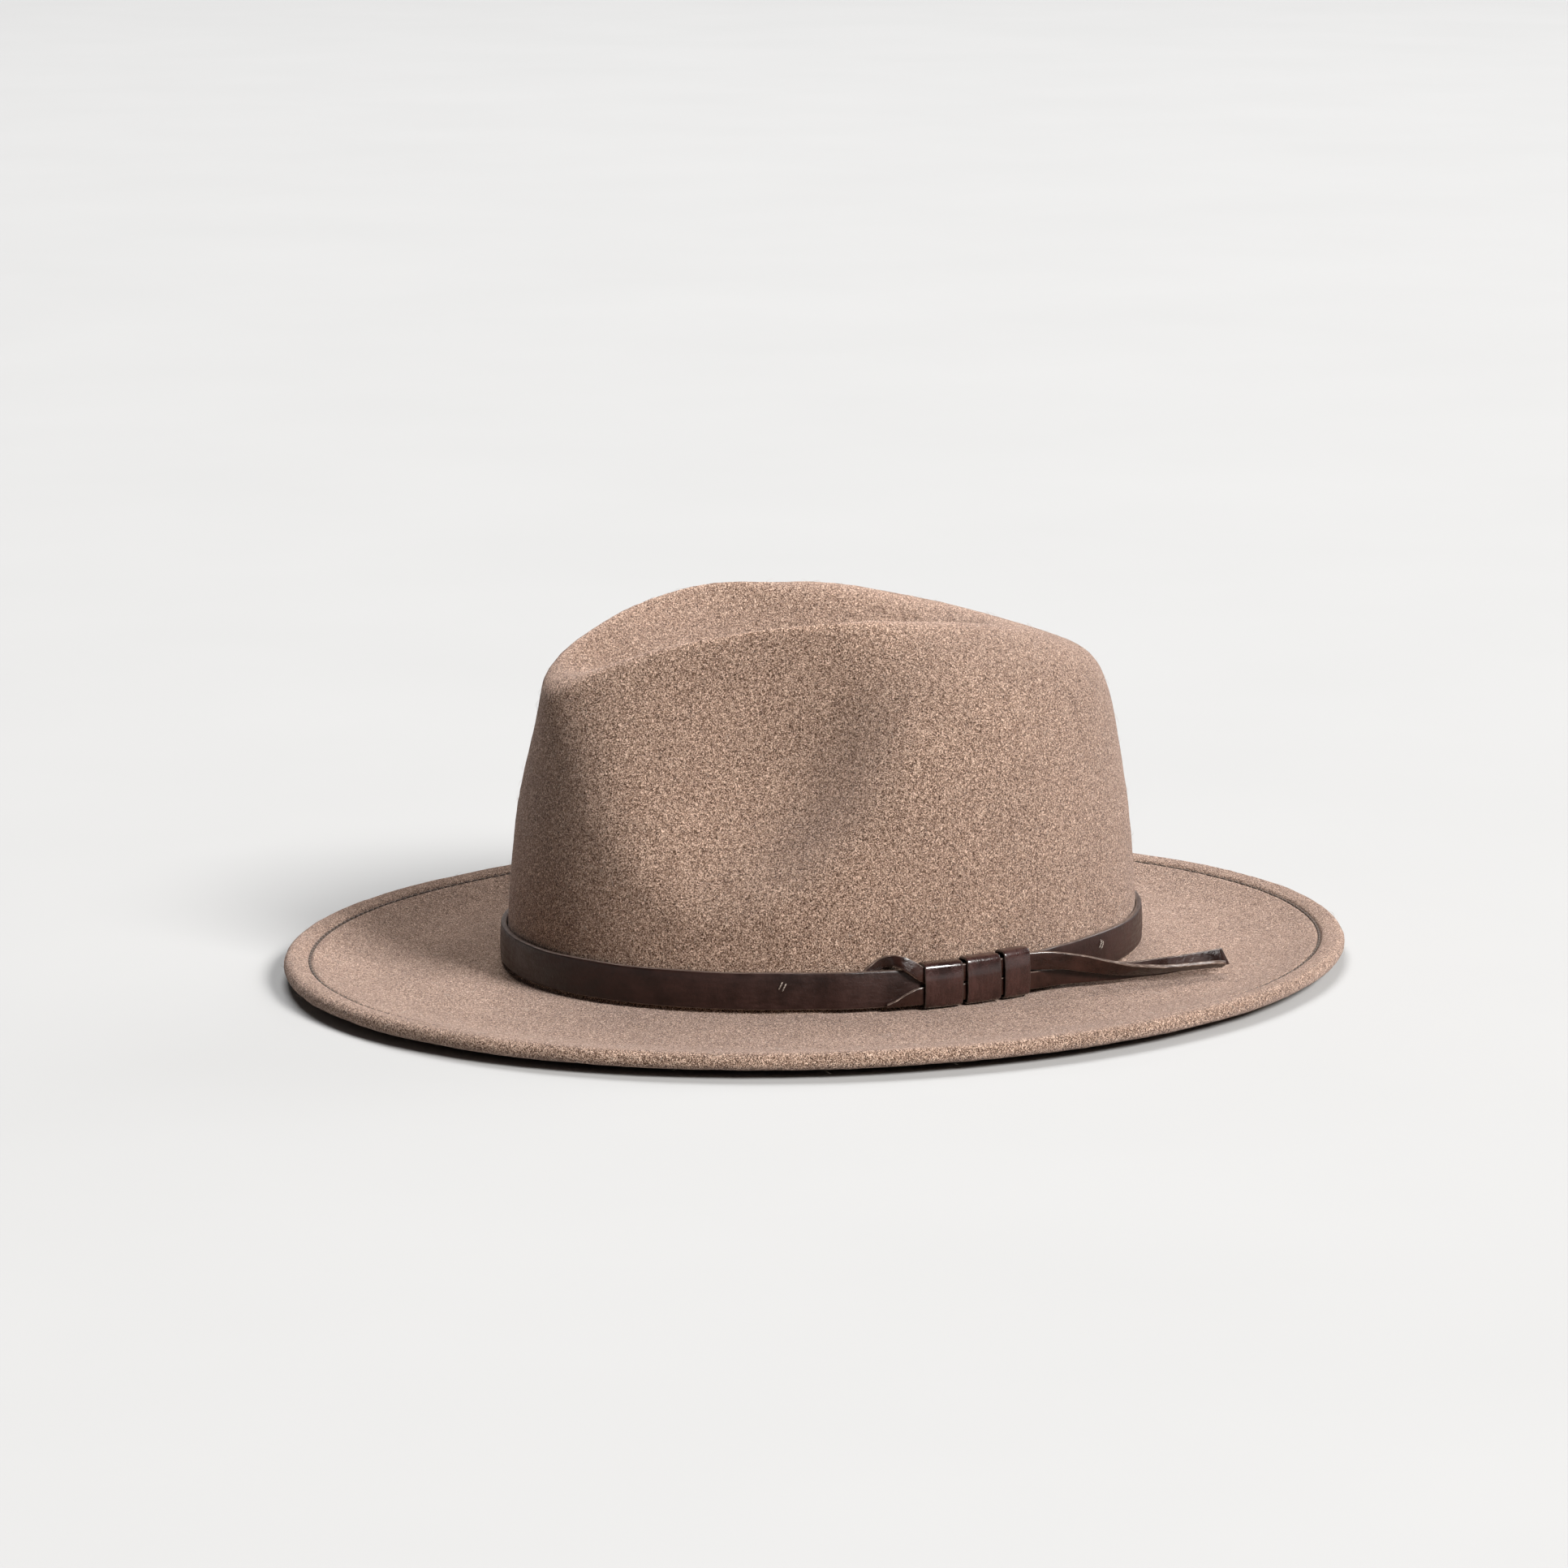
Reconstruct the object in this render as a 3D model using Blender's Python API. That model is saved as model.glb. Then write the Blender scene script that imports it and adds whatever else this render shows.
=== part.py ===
"""Wool-felt fedora with a leather hatband, knotted lace and three keeper loops.

Frame: +Z up, the front of the hat looks along -Y, the wearer's left is +X.
The hat stands on the underside of its brim at z = 0.
Lengths below are millimetres in the hat's own heights, where 0 is the lower
edge of the hatband; BAND_LIFT carries that level up to the resting plane.
"""
import math

import bpy
import bmesh
import numpy as np

MM = 0.001

# ---- felt body -----------------------------------------------------------
CROWN_HALF_LENGTH = 105.0
CROWN_HALF_WIDTH = 86.8
FELT = 2.5
BRIM_HALF_LENGTH = 175.2
BRIM_HALF_WIDTH = 153.6
BRIM_FORWARD_SHIFT = 1.6
BRIM_DROP = 1.3
BAND_LIFT = 5.3

WALL_LEAN = 9.6
WALL_LEAN_HEIGHT = 84.0
WALL_LEAN_POWER = 1.8

# Crown shape by heading in degrees, 0 at the front and 180 at the back; both
# sides of the hat are alike.
HEADING = [0, 14, 28, 40, 52, 66, 80, 98, 125, 150, 180]
RIDGE_RADIUS = [96.0, 79.3, 65.1, 57.2, 52.3, 48.6, 45.5, 43.5, 50.2, 60.3, 65.2]
RIDGE_HEIGHT = [97.1, 105.5, 110.8, 113.2, 114.4, 115.0, 115.2, 114.2, 111.8, 105.9, 102.3]
RIDGE_ROUNDING = [6, 6, 5, 5, 5, 5, 6, 8, 10, 11, 11]
PINCH_FOOT = [62, 52, 32, 23, 25, 36, 47, 55, 62, 66, 68]
FOOT_REACH = [13.4, 16.0, 19.0, 19.0, 21.0, 25.0, 31.0, 38.0, 34.0, 32.4, 29.2]
RIDGE_REACH = [5.7, 17.0, 44.0, 60.0, 64.0, 58.0, 41.0, 26.0, 20.4, 23.3, 25.0]
RIDGE_SLOPE = [47.5, 52.0, 92.0, 100.0, 99.0, 88.0, 66.0, 40.0, 29.1, 23.0, 26.4]
CREASE_FLOOR = 86.0

# Brim top by fraction of the brim's width, height from the band level.
BRIM_FRACTION = [0.0, 0.2, 0.40, 0.53, 0.72, 0.87, 0.96, 1.0]
BRIM_HEIGHT = [-1.3, -2.0, -2.8, -2.8, -1.2, 1.3, 2.5, 2.6]
FLAT_FROM = 0.40
FLAT_TO = 0.53

# ---- hem -----------------------------------------------------------------
HEM_ROUND = 2.6
HEM_WIDTH = 9.6
HEM_GAP = 0.3
SEAM_INSET = 8.2
SEAM_GROOVE_WIDTH = 1.9
SEAM_GROOVE_DEPTH = 0.7
THREAD_RADIUS = 0.28
WIRE_RADIUS = 0.7
WIRE_CHANNEL_RADIUS = 1.65
WIRE_INSET = 3.6
JOINER_INNER = 0.9
JOINER_OUTER = 1.15
JOINER_LENGTH = 16.0

# ---- hatband, laces and keeper loops --------------------------------------
CLEARANCE = 0.3
STRAP_THICKNESS = 1.8
STRAP_BOTTOM = 0.2
STRAP_TOP = 11.7
STRAP_EDGE = 0.35
STRAP_LIFT = 1.5
LIFT_START = -48.0
LIFT_END = 41.0
LIFT_RAMP = 14.0
LOOP_SPANS = [(-13.1, -0.5), (0.9, 12.7), (14.1, 23.5)]
LOOP_TOPS = [13.2, 13.7, 14.2]
LOOP_BOTTOM = -0.9
LOOP_THICKNESS = 0.8
LOOP_CORNER = 1.8
LACE_THICKNESS = 1.2
LACE_OUT = CLEARANCE + STRAP_LIFT + STRAP_THICKNESS + CLEARANCE + LACE_THICKNESS / 2.0

# Lace stations beside the crown: distance along it, distance out from LACE_OUT,
# height, width, tilt in degrees.
UPPER_BESIDE = [
    (-30.2, -3.6, 10.0, 3.0, 0), (-27.6, -3.6, 12.2, 3.0, 0), (-24.9, -3.2, 13.9, 3.2, 0),
    (-22.2, -1.7, 14.6, 3.4, 5), (-19.6, -0.1, 14.0, 3.8, 12), (-17.2, 0.35, 12.6, 4.2, 15),
    (-14.9, 0.25, 10.9, 4.4, 10), (-12.2, 0.05, 9.4, 4.8, 3), (-9.0, 0.0, 9.2, 5.4, 0),
    (-3.0, 0.0, 9.2, 5.4, 0), (4.0, 0.0, 9.2, 5.4, 0), (12.0, 0.0, 9.2, 5.4, 0),
    (18.0, 0.0, 9.3, 5.4, 0), (24.0, 0.0, 9.6, 5.4, 0),
]
LOWER_BESIDE = [
    (-24.6, 0.1, 0.9, 0.9, 0), (-21.4, 0.1, 1.5, 2.2, 0), (-18.0, 0.1, 2.4, 3.9, 0),
    (-14.4, 0.0, 3.1, 5.2, 0), (-10.0, 0.0, 3.2, 5.4, 0), (-3.0, 0.0, 3.2, 5.4, 0),
    (4.0, 0.0, 3.2, 5.4, 0), (12.0, 0.0, 3.2, 5.4, 0), (18.0, 0.0, 3.2, 5.4, 0),
    (24.0, 0.0, 3.4, 5.4, 0),
]
# Lace stations hanging free: x, y, height, width, tilt in degrees.
UPPER_FREE = [
    (89.9, 35.0, 8.9, 5.4, -4), (90.0, 45.0, 6.8, 5.4, -14), (89.8, 52.0, 5.0, 5.4, -30),
    (89.4, 61.0, 3.1, 5.4, -46), (89.0, 71.0, 1.9, 5.4, -57), (89.0, 80.0, 1.6, 5.4, -62),
    (89.3, 91.0, 1.4, 5.2, -62), (89.5, 96.0, 1.0, 3.4, -60),
]
LOWER_FREE = [
    (87.1, 35.0, 3.0, 5.4, 0), (86.6, 47.0, 2.6, 5.4, 3), (85.6, 59.0, 2.0, 5.4, 6),
    (84.8, 72.0, 1.6, 5.4, 10), (84.4, 84.0, 1.7, 5.4, 14), (84.4, 99.5, 2.2, 5.4, 16),
]

# ---- inside --------------------------------------------------------------
SWEATBAND_BOTTOM = -1.6
SWEATBAND_TOP = 22.0
SWEATBAND_EASE = 0.15
SWEATBAND_THICKNESS = 1.1
TAPE_WIDTH = 13.0
TAPE_BOTTOM = 2.2
TAPE_TOP = 20.8
TAPE_THICKNESS = 0.6
LABEL_WIDTH = 17.0
LABEL_BOTTOM = 5.0
LABEL_HEIGHT = 14.0
LABEL_THICKNESS = 0.5

AROUND = 60
RING_STEPS = 90


def clear_scene():
    for item in list(bpy.data.objects):
        bpy.data.objects.remove(item, do_unlink=True)


def make_material(name, colour, roughness, metallic=0.0):
    material = bpy.data.materials.new(name)
    material.use_nodes = True
    shader = material.node_tree.nodes["Principled BSDF"]
    shader.inputs["Base Color"].default_value = (*colour, 1.0)
    shader.inputs["Roughness"].default_value = roughness
    shader.inputs["Metallic"].default_value = metallic
    return material


# ---- smooth curves ---------------------------------------------------------
def by_heading(values):
    """Smooth closed curve through one value per heading, alike on both sides."""
    angles = np.array(HEADING + [360 - a for a in HEADING[-2::-1]], float)
    heights = np.array(list(values) + list(values[-2::-1]), float)
    count = len(angles) - 1
    gap = np.diff(angles)
    rise = np.diff(heights) / gap
    system = np.zeros((count, count))
    target = np.zeros(count)
    for i in range(count):
        before = (i - 1) % count
        system[i, before] += gap[before]
        system[i, i] += 2.0 * (gap[before] + gap[i])
        system[i, (i + 1) % count] += gap[i]
        target[i] = 6.0 * (rise[i] - rise[before])
    bend = np.linalg.solve(system, target)
    bend = np.append(bend, bend[0])

    def at(degrees):
        turned = np.asarray(degrees, float) % 360.0
        i = np.clip(np.searchsorted(angles, turned, side="right") - 1, 0, count - 1)
        ahead = (angles[i + 1] - turned) / gap[i]
        behind = (turned - angles[i]) / gap[i]
        straight = ahead * heights[i] + behind * heights[i + 1]
        curved = (ahead ** 3 - ahead) * bend[i] + (behind ** 3 - behind) * bend[i + 1]
        return straight + gap[i] ** 2 / 6.0 * curved

    return at


def along(knots, values, x):
    """Smooth open curve through the points (knots, values), level at both ends."""
    knots = np.asarray(knots, float)
    values = np.asarray(values, float)
    slope = np.zeros(len(knots))
    step = np.diff(values) / np.diff(knots)
    for i in range(1, len(knots) - 1):
        if step[i - 1] * step[i] > 0:
            slope[i] = 2.0 * step[i - 1] * step[i] / (step[i - 1] + step[i])
    x = np.clip(np.asarray(x, float), knots[0], knots[-1])
    i = np.clip(np.searchsorted(knots, x, side="right") - 1, 0, len(knots) - 2)
    gap = knots[i + 1] - knots[i]
    t = (x - knots[i]) / gap
    start = (2 * t ** 3 - 3 * t ** 2 + 1) * values[i] + (t ** 3 - 2 * t ** 2 + t) * gap * slope[i]
    end = (3 * t ** 2 - 2 * t ** 3) * values[i + 1] + (t ** 3 - t ** 2) * gap * slope[i + 1]
    return start + end


def oval(heading, half_length, half_width):
    """Distance from the middle to an oval's edge along a heading."""
    across = np.sin(heading) / half_width
    forward = np.cos(heading) / half_length
    return 1.0 / np.sqrt(across ** 2 + forward ** 2)


def wall_radius(heading, height):
    lean = WALL_LEAN * (np.maximum(height, 0.0) / WALL_LEAN_HEIGHT) ** WALL_LEAN_POWER
    return oval(heading, CROWN_HALF_LENGTH - lean, CROWN_HALF_WIDTH - lean)


def edge_radius(heading):
    return oval(heading, BRIM_HALF_LENGTH, BRIM_HALF_WIDTH) + BRIM_FORWARD_SHIFT * np.cos(heading)


def brim_point(heading, fraction):
    inner = wall_radius(heading, 0.0)
    outer = edge_radius(heading)
    radius = inner + (outer - inner) * fraction
    return radius, along(BRIM_FRACTION, BRIM_HEIGHT, fraction)


def from_edge(heading, inset):
    """Brim point a given distance inside the outer edge."""
    width = edge_radius(heading) - wall_radius(heading, 0.0)
    return brim_point(heading, 1.0 - inset / width)


def bezier(p0, p1, p2, p3, u):
    w = 1.0 - u
    return w ** 3 * p0 + 3 * w * w * u * p1 + 3 * w * u * u * p2 + u ** 3 * p3


def bezier_slope(p0, p1, p2, p3, u):
    w = 1.0 - u
    return 3 * w * w * (p1 - p0) + 6 * w * u * (p2 - p1) + 3 * u * u * (p3 - p2)


# ---- crown -----------------------------------------------------------------
def crown_rows(heading, in_crease, over_ridge, down_face, down_wall):
    """Rows of (radius, height) from the crease floor over the ridge to the band."""
    degrees = np.degrees(heading)
    ridge_r = by_heading(RIDGE_RADIUS)(degrees)
    ridge_z = by_heading(RIDGE_HEIGHT)(degrees)
    foot = by_heading(PINCH_FOOT)(degrees)
    foot_reach = by_heading(FOOT_REACH)(degrees)
    ridge_reach = by_heading(RIDGE_REACH)(degrees)
    slope = np.radians(by_heading(RIDGE_SLOPE)(degrees))
    rounding = by_heading(RIDGE_ROUNDING)(degrees)

    rise = ridge_z - CREASE_FLOOR
    steep = 2.0 * rise / ridge_r
    stop = 1.0 - rounding / np.sqrt(1.0 + steep ** 2) / ridge_r
    rows = []
    for share in in_crease:
        reach = share * stop
        rows.append((ridge_r * reach, CREASE_FLOOR + rise * reach ** 2))

    foot_r = wall_radius(heading, foot)
    lean = (wall_radius(heading, foot + 0.5) - foot_r) / 0.5
    size = np.sqrt(1.0 + lean ** 2)
    radii = (foot_r, foot_r + foot_reach * lean / size, ridge_r + ridge_reach * np.cos(slope), ridge_r)
    heights = (foot, foot + foot_reach / size, ridge_z - ridge_reach * np.sin(slope), ridge_z)
    last = 1.0 - rounding / (3.0 * ridge_reach)

    in_r = ridge_r * stop
    in_z = CREASE_FLOOR + rise * stop ** 2
    in_slope = steep * stop
    in_size = np.sqrt(1.0 + in_slope ** 2)
    out_r = bezier(*radii, last)
    out_z = bezier(*heights, last)
    out_dr = bezier_slope(*radii, last)
    out_dz = bezier_slope(*heights, last)
    out_size = np.hypot(out_dr, out_dz)
    pull = 0.6 * rounding
    bow_r = (in_r, in_r + pull / in_size, out_r + pull * out_dr / out_size, out_r)
    bow_z = (in_z, in_z + pull * in_slope / in_size, out_z + pull * out_dz / out_size, out_z)
    for share in over_ridge:
        rows.append((bezier(*bow_r, share), bezier(*bow_z, share)))
    for share in down_face:
        u = last * (1.0 - share)
        rows.append((bezier(*radii, u), bezier(*heights, u)))
    for share in down_wall:
        height = foot * (1.0 - share) + CLEARANCE * share
        rows.append((wall_radius(heading, height), height))
    return rows


def place(heading, radius, height):
    """World positions in millimetres of one row of points."""
    x = radius * np.sin(heading)
    y = -radius * np.cos(heading)
    z = np.broadcast_to(height, heading.shape) + BAND_LIFT
    return np.stack([x, y, z], axis=-1)


def inward(rows, heading, depth):
    """Rows moved into the hat by the felt's thickness, square to the surface."""
    grid = np.array([place(heading, r, z) for r, z in rows])
    around = np.roll(grid, -1, axis=1) - np.roll(grid, 1, axis=1)
    down = np.gradient(grid, axis=0)
    normal = np.cross(down, around)
    normal /= np.linalg.norm(normal, axis=2, keepdims=True)
    outward = np.sign(np.sum(normal[-1, :, :2] * grid[-1, :, :2]))
    return grid - normal * outward * depth


def felt_rows(heading):
    """Every row of the felt body from the outside crease to the inside crease."""
    crown = crown_rows(
        heading,
        [0.25, 0.5, 0.75, 1.0],
        [0.25, 0.5, 0.75, 1.0],
        [0.14, 0.28, 0.43, 0.57, 0.71, 0.86, 1.0],
        [0.4, 0.75, 1.0],
    )
    rows = [place(heading, r, z) for r, z in crown]
    base = wall_radius(heading, 0.0)
    rows.append(place(heading, base + 0.45, -BRIM_DROP + 0.45))
    rows.append(place(heading, base + 1.5, -BRIM_DROP))
    for fraction in (0.2, FLAT_FROM, FLAT_TO, 0.72):
        rows.append(place(heading, *brim_point(heading, fraction)))

    half_groove = SEAM_GROOVE_WIDTH / 2.0
    groove = [
        (SEAM_INSET + half_groove + 0.2, 0.0),
        (SEAM_INSET + half_groove - 0.2, SEAM_GROOVE_DEPTH),
        (SEAM_INSET - half_groove + 0.2, SEAM_GROOVE_DEPTH),
        (SEAM_INSET - half_groove - 0.2, 0.0),
    ]
    for inset, depth in groove:
        radius, height = from_edge(heading, inset)
        rows.append(place(heading, radius, height - depth))

    edge = edge_radius(heading)
    for angle in (90, 50, 0, -50, -90):
        a = math.radians(angle)
        rows.append(place(heading, edge - HEM_ROUND + HEM_ROUND * math.cos(a), HEM_ROUND * math.sin(a)))

    under = 2.0 * FELT + HEM_GAP
    for inset, depth in (
        (6.5, under),
        (HEM_WIDTH - 0.5, under - 0.1),
        (HEM_WIDTH, under - 0.6),
        (HEM_WIDTH, FELT + HEM_GAP + 0.4),
        (HEM_WIDTH - 0.4, FELT + HEM_GAP),
    ):
        radius, height = from_edge(heading, inset)
        rows.append(place(heading, radius, height - depth))
    middle = edge - WIRE_INSET
    for angle in (192, 255, 315, 15, 75, 135, 172):
        a = math.radians(angle)
        radius = middle + WIRE_CHANNEL_RADIUS * math.cos(a)
        rows.append(place(heading, radius, WIRE_CHANNEL_RADIUS * math.sin(a)))
    radius, height = from_edge(heading, HEM_WIDTH)
    rows.append(place(heading, radius, height - FELT))
    for fraction in (0.72, FLAT_TO, FLAT_FROM, 0.2):
        radius, height = brim_point(heading, fraction)
        rows.append(place(heading, radius, height - FELT))
    rows.append(place(heading, base - FELT + 1.6, -BRIM_DROP - FELT))
    rows.append(place(heading, base - FELT + 0.5, -BRIM_DROP - FELT + 0.5))
    rows.append(place(heading, base - FELT, -BRIM_DROP - FELT + 1.6))
    inside = inward(crown, heading, FELT)
    keep = [16, 15, 14, 12, 10, 9, 7, 5, 3, 1, 0]
    rows.extend(inside[i] for i in keep)
    return rows


# ---- mesh building ----------------------------------------------------------
def finish(name, points, faces, material):
    mesh = bpy.data.meshes.new(name)
    centring = np.array([0.0, BRIM_FORWARD_SHIFT, 0.0])
    mesh.from_pydata([tuple((p + centring) * MM) for p in points], [], faces)
    work = bmesh.new()
    work.from_mesh(mesh)
    bmesh.ops.recalc_face_normals(work, faces=work.faces)
    work.to_mesh(mesh)
    work.free()
    item = bpy.data.objects.new(name, mesh)
    bpy.context.collection.objects.link(item)
    mesh.materials.append(material)
    for face in mesh.polygons:
        face.use_smooth = True
    return item


def band_faces(first, second, count):
    return [(first + i, second + i, second + (i + 1) % count, first + (i + 1) % count) for i in range(count)]


def dome(name, rows, top, bottom, material):
    """Closed skin: a point, rings of points, and a last point."""
    count = len(rows[0])
    points = [np.array(top)]
    for row in rows:
        points.extend(row)
    points.append(np.array(bottom))
    faces = [(0, 1 + i, 1 + (i + 1) % count) for i in range(count)]
    for k in range(len(rows) - 1):
        faces.extend(band_faces(1 + k * count, 1 + (k + 1) * count, count))
    last = 1 + (len(rows) - 1) * count
    end = len(points) - 1
    faces.extend((end, last + (i + 1) % count, last + i) for i in range(count))
    return finish(name, points, faces, material)


def sweep(name, sections, closed, material):
    """Solid through closed outlines; joined end to end when closed, else capped."""
    sections = np.asarray(sections)
    total, count = sections.shape[:2]
    points = sections.reshape(-1, 3)
    faces = []
    for k in range(total if closed else total - 1):
        faces.extend(band_faces(k * count, (k + 1) % total * count, count))
    if not closed:
        faces.append(tuple(range(count)))
        faces.append(tuple((total - 1) * count + i for i in reversed(range(count))))
    return finish(name, points, faces, material)


def soft_rectangle(low_a, high_a, low_b, high_b, cut):
    """Outline of a rectangle with its corners taken off."""
    return [
        (low_a + cut, low_b),
        (high_a - cut, low_b),
        (high_a, low_b + cut),
        (high_a, high_b - cut),
        (high_a - cut, high_b),
        (low_a + cut, high_b),
        (low_a, high_b - cut),
        (low_a, low_b + cut),
    ]


# ---- positions beside the crown ----------------------------------------------
def crown_arc_table():
    turn = np.linspace(-math.pi, math.pi, 2881)
    x = CROWN_HALF_WIDTH * np.cos(turn)
    y = CROWN_HALF_LENGTH * np.sin(turn)
    length = np.concatenate([[0.0], np.cumsum(np.hypot(np.diff(x), np.diff(y)))])
    return turn, length - np.interp(0.0, turn, length)


ARC_TURN, ARC_LENGTH = crown_arc_table()


def beside_crown(arc, out, height):
    """Point beside the wall: arc runs toward the back from the wearer's left."""
    turn = np.interp(arc, ARC_LENGTH, ARC_TURN)
    lean = WALL_LEAN * (np.maximum(height, 0.0) / WALL_LEAN_HEIGHT) ** WALL_LEAN_POWER
    normal_x = np.cos(turn) / CROWN_HALF_WIDTH
    normal_y = np.sin(turn) / CROWN_HALF_LENGTH
    size = np.hypot(normal_x, normal_y)
    x = CROWN_HALF_WIDTH * np.cos(turn) + (out - lean) * normal_x / size
    y = CROWN_HALF_LENGTH * np.sin(turn) + (out - lean) * normal_y / size
    return np.array([x, y, height + BAND_LIFT])


def strap_lift(arc):
    """How far the strap stands off the felt: more where lace and keepers pass behind."""
    share = min(max(min(arc - LIFT_START, LIFT_END - arc) / LIFT_RAMP, 0.0), 1.0)
    return STRAP_LIFT * share * share * (3.0 - 2.0 * share)


# ---- parts -------------------------------------------------------------------
def build_felt(material):
    heading = np.arange(AROUND) * 2.0 * math.pi / AROUND
    rows = felt_rows(heading)
    top = (0.0, 0.0, CREASE_FLOOR + BAND_LIFT)
    bottom = (0.0, 0.0, CREASE_FLOOR + BAND_LIFT - FELT)
    dome("felt_body", rows, top, bottom, material)


def ring_sections(heading, centre_r, centre_z, radius, sides):
    """Round cord outlines following a ring around the hat."""
    sections = []
    for i, h in enumerate(heading):
        outline = []
        for k in range(sides):
            a = 2.0 * math.pi * k / sides
            r = centre_r[i] + radius * math.cos(a)
            z = centre_z[i] + radius * math.sin(a)
            outline.append([r * math.sin(h), -r * math.cos(h), z + BAND_LIFT])
        sections.append(outline)
    return sections


def build_hem(thread, steel):
    heading = np.arange(RING_STEPS) * 2.0 * math.pi / RING_STEPS
    radius, height = from_edge(heading, SEAM_INSET)
    level = height - SEAM_GROOVE_DEPTH + THREAD_RADIUS + 0.12
    sweep("hem_thread", ring_sections(heading, radius, level, THREAD_RADIUS, 5), True, thread)

    gap = math.radians(0.4)
    heading = np.linspace(math.pi + gap, 3.0 * math.pi - gap, RING_STEPS)
    radius = edge_radius(heading) - WIRE_INSET
    sections = ring_sections(heading, radius, np.zeros(RING_STEPS), WIRE_RADIUS, 6)
    sweep("brim_wire", sections, False, steel)

    reach = JOINER_LENGTH / 2.0 / (BRIM_HALF_LENGTH - WIRE_INSET)
    sections = []
    for h in (-reach, -reach / 2.0, 0.0, reach / 2.0, reach):
        h = math.pi + h
        radius = float(edge_radius(h)) - WIRE_INSET
        outline = []
        for size in (JOINER_OUTER, JOINER_INNER):
            for k in range(12):
                a = 2.0 * math.pi * k / 12
                r = radius + size * math.cos(a)
                outline.append((r * math.sin(h), -r * math.cos(h), size * math.sin(a) + BAND_LIFT))
        sections.append(outline)
    tube("wire_joiner", sections, 12, steel)


def tube(name, sections, sides, material):
    """Open-ended pipe; each section lists the outer ring and then the inner ring."""
    points = [np.array(p) for section in sections for p in section]
    size = 2 * sides
    faces = []
    for k in range(len(sections) - 1):
        a = k * size
        b = a + size
        for i in range(sides):
            j = (i + 1) % sides
            faces.append((a + i, a + j, b + j, b + i))
            faces.append((a + sides + i, b + sides + i, b + sides + j, a + sides + j))
    for start, turn in ((0, 1), ((len(sections) - 1) * size, -1)):
        for i in range(sides):
            j = (i + 1) % sides
            face = (start + i, start + sides + i, start + sides + j, start + j)
            faces.append(face[::turn])
    finish(name, points, faces, material)


def build_strap(material):
    start = -ARC_LENGTH[0]
    around = 2.0 * start
    butt = 6.8
    arcs = np.linspace(butt + 0.2, butt + around - 0.2, 101)
    sections = []
    for arc in arcs:
        arc = (arc + start) % around - start
        lift = CLEARANCE + strap_lift(arc)
        outline = soft_rectangle(lift, lift + STRAP_THICKNESS, STRAP_BOTTOM, STRAP_TOP, STRAP_EDGE)
        sections.append([beside_crown(arc, out, z) for out, z in outline])
    sweep("band_strap", sections, False, material)


def build_loops(material):
    inner = CLEARANCE + LOOP_THICKNESS
    outer = LACE_OUT + LACE_THICKNESS / 2.0 + CLEARANCE
    for index, (span, top) in enumerate(zip(LOOP_SPANS, LOOP_TOPS)):
        low = LOOP_BOTTOM + LOOP_THICKNESS
        high = top - LOOP_THICKNESS
        corner = LOOP_CORNER - LOOP_THICKNESS
        path = []
        for out, z, first in (
            (outer - corner, high - corner, 0),
            (inner + corner, high - corner, 90),
            (inner + corner, low + corner, 180),
            (outer - corner, low + corner, 270),
        ):
            for turn in (0, 30, 60, 90):
                a = math.radians(first + turn)
                path.append((out, z, math.cos(a), math.sin(a)))
        sections = []
        for out, z, across, up in path:
            outline = []
            rim = 0.2
            arcs = np.linspace(span[0], span[1], 5)
            depths = [corner + rim, corner, corner, corner, corner + rim]
            for arc, depth in zip(arcs, depths):
                outline.append(beside_crown(arc, out + depth * across, z + depth * up))
            depth = corner + LOOP_THICKNESS
            depths = [depth - rim, depth, depth, depth, depth - rim]
            for arc, depth in zip(arcs[::-1], depths):
                outline.append(beside_crown(arc, out + depth * across, z + depth * up))
            sections.append(outline)
        sweep(f"keeper_loop_{index + 1}", sections, True, material)


def smooth_path(stations, per_span):
    """Rounded line through the stations."""
    stations = np.asarray(stations, float)
    padded = np.vstack([2 * stations[0] - stations[1], stations, 2 * stations[-1] - stations[-2]])
    line = []
    for k in range(1, len(padded) - 2):
        a, b, c, d = padded[k - 1:k + 3]
        for step in range(per_span):
            t = step / per_span
            line.append(0.5 * (2 * b + (c - a) * t + (2 * a - 5 * b + 4 * c - d) * t * t
                               + (3 * b - a - 3 * c + d) * t ** 3))
    line.append(stations[-1])
    return np.array(line)


def lace_facing(point):
    """Outward direction of the oval through a point beside the crown."""
    x = point[0] / CROWN_HALF_WIDTH ** 2
    y = min(point[1], 30.0) / CROWN_HALF_LENGTH ** 2
    size = math.hypot(x, y)
    return np.array([x / size, y / size, 0.0])


def lace(name, beside, free, material):
    """Flat lace through its stations, turned by their tilts about its own line."""
    points = [beside_crown(arc, LACE_OUT + out, z) for arc, out, z, width, tilt in beside]
    points += [np.array([x, y, z + BAND_LIFT]) for x, y, z, width, tilt in free]
    fine = 3
    line = smooth_path(points, fine)
    places = np.arange(len(line)) / fine
    stations = np.arange(len(points))
    widths = np.interp(places, stations, [station[3] for station in beside + free])
    tilts = np.radians(np.interp(places, stations, [station[4] for station in beside + free]))
    sections = []
    for k, point in enumerate(line):
        forward = line[min(k + 1, len(line) - 1)] - line[max(k - 1, 0)]
        forward /= np.linalg.norm(forward)
        facing = lace_facing(point)
        facing = facing - forward * np.dot(facing, forward)
        facing /= np.linalg.norm(facing)
        across = np.cross(facing, forward)
        cos = math.cos(tilts[k])
        sin = math.sin(tilts[k])
        facing, across = facing * cos + across * sin, across * cos - facing * sin
        half = widths[k] / 2.0
        outline = soft_rectangle(-half, half, -LACE_THICKNESS / 2, LACE_THICKNESS / 2, 0.25)
        sections.append([point + across * a + facing * b for a, b in outline])
    sweep(name, sections, False, material)


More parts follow.
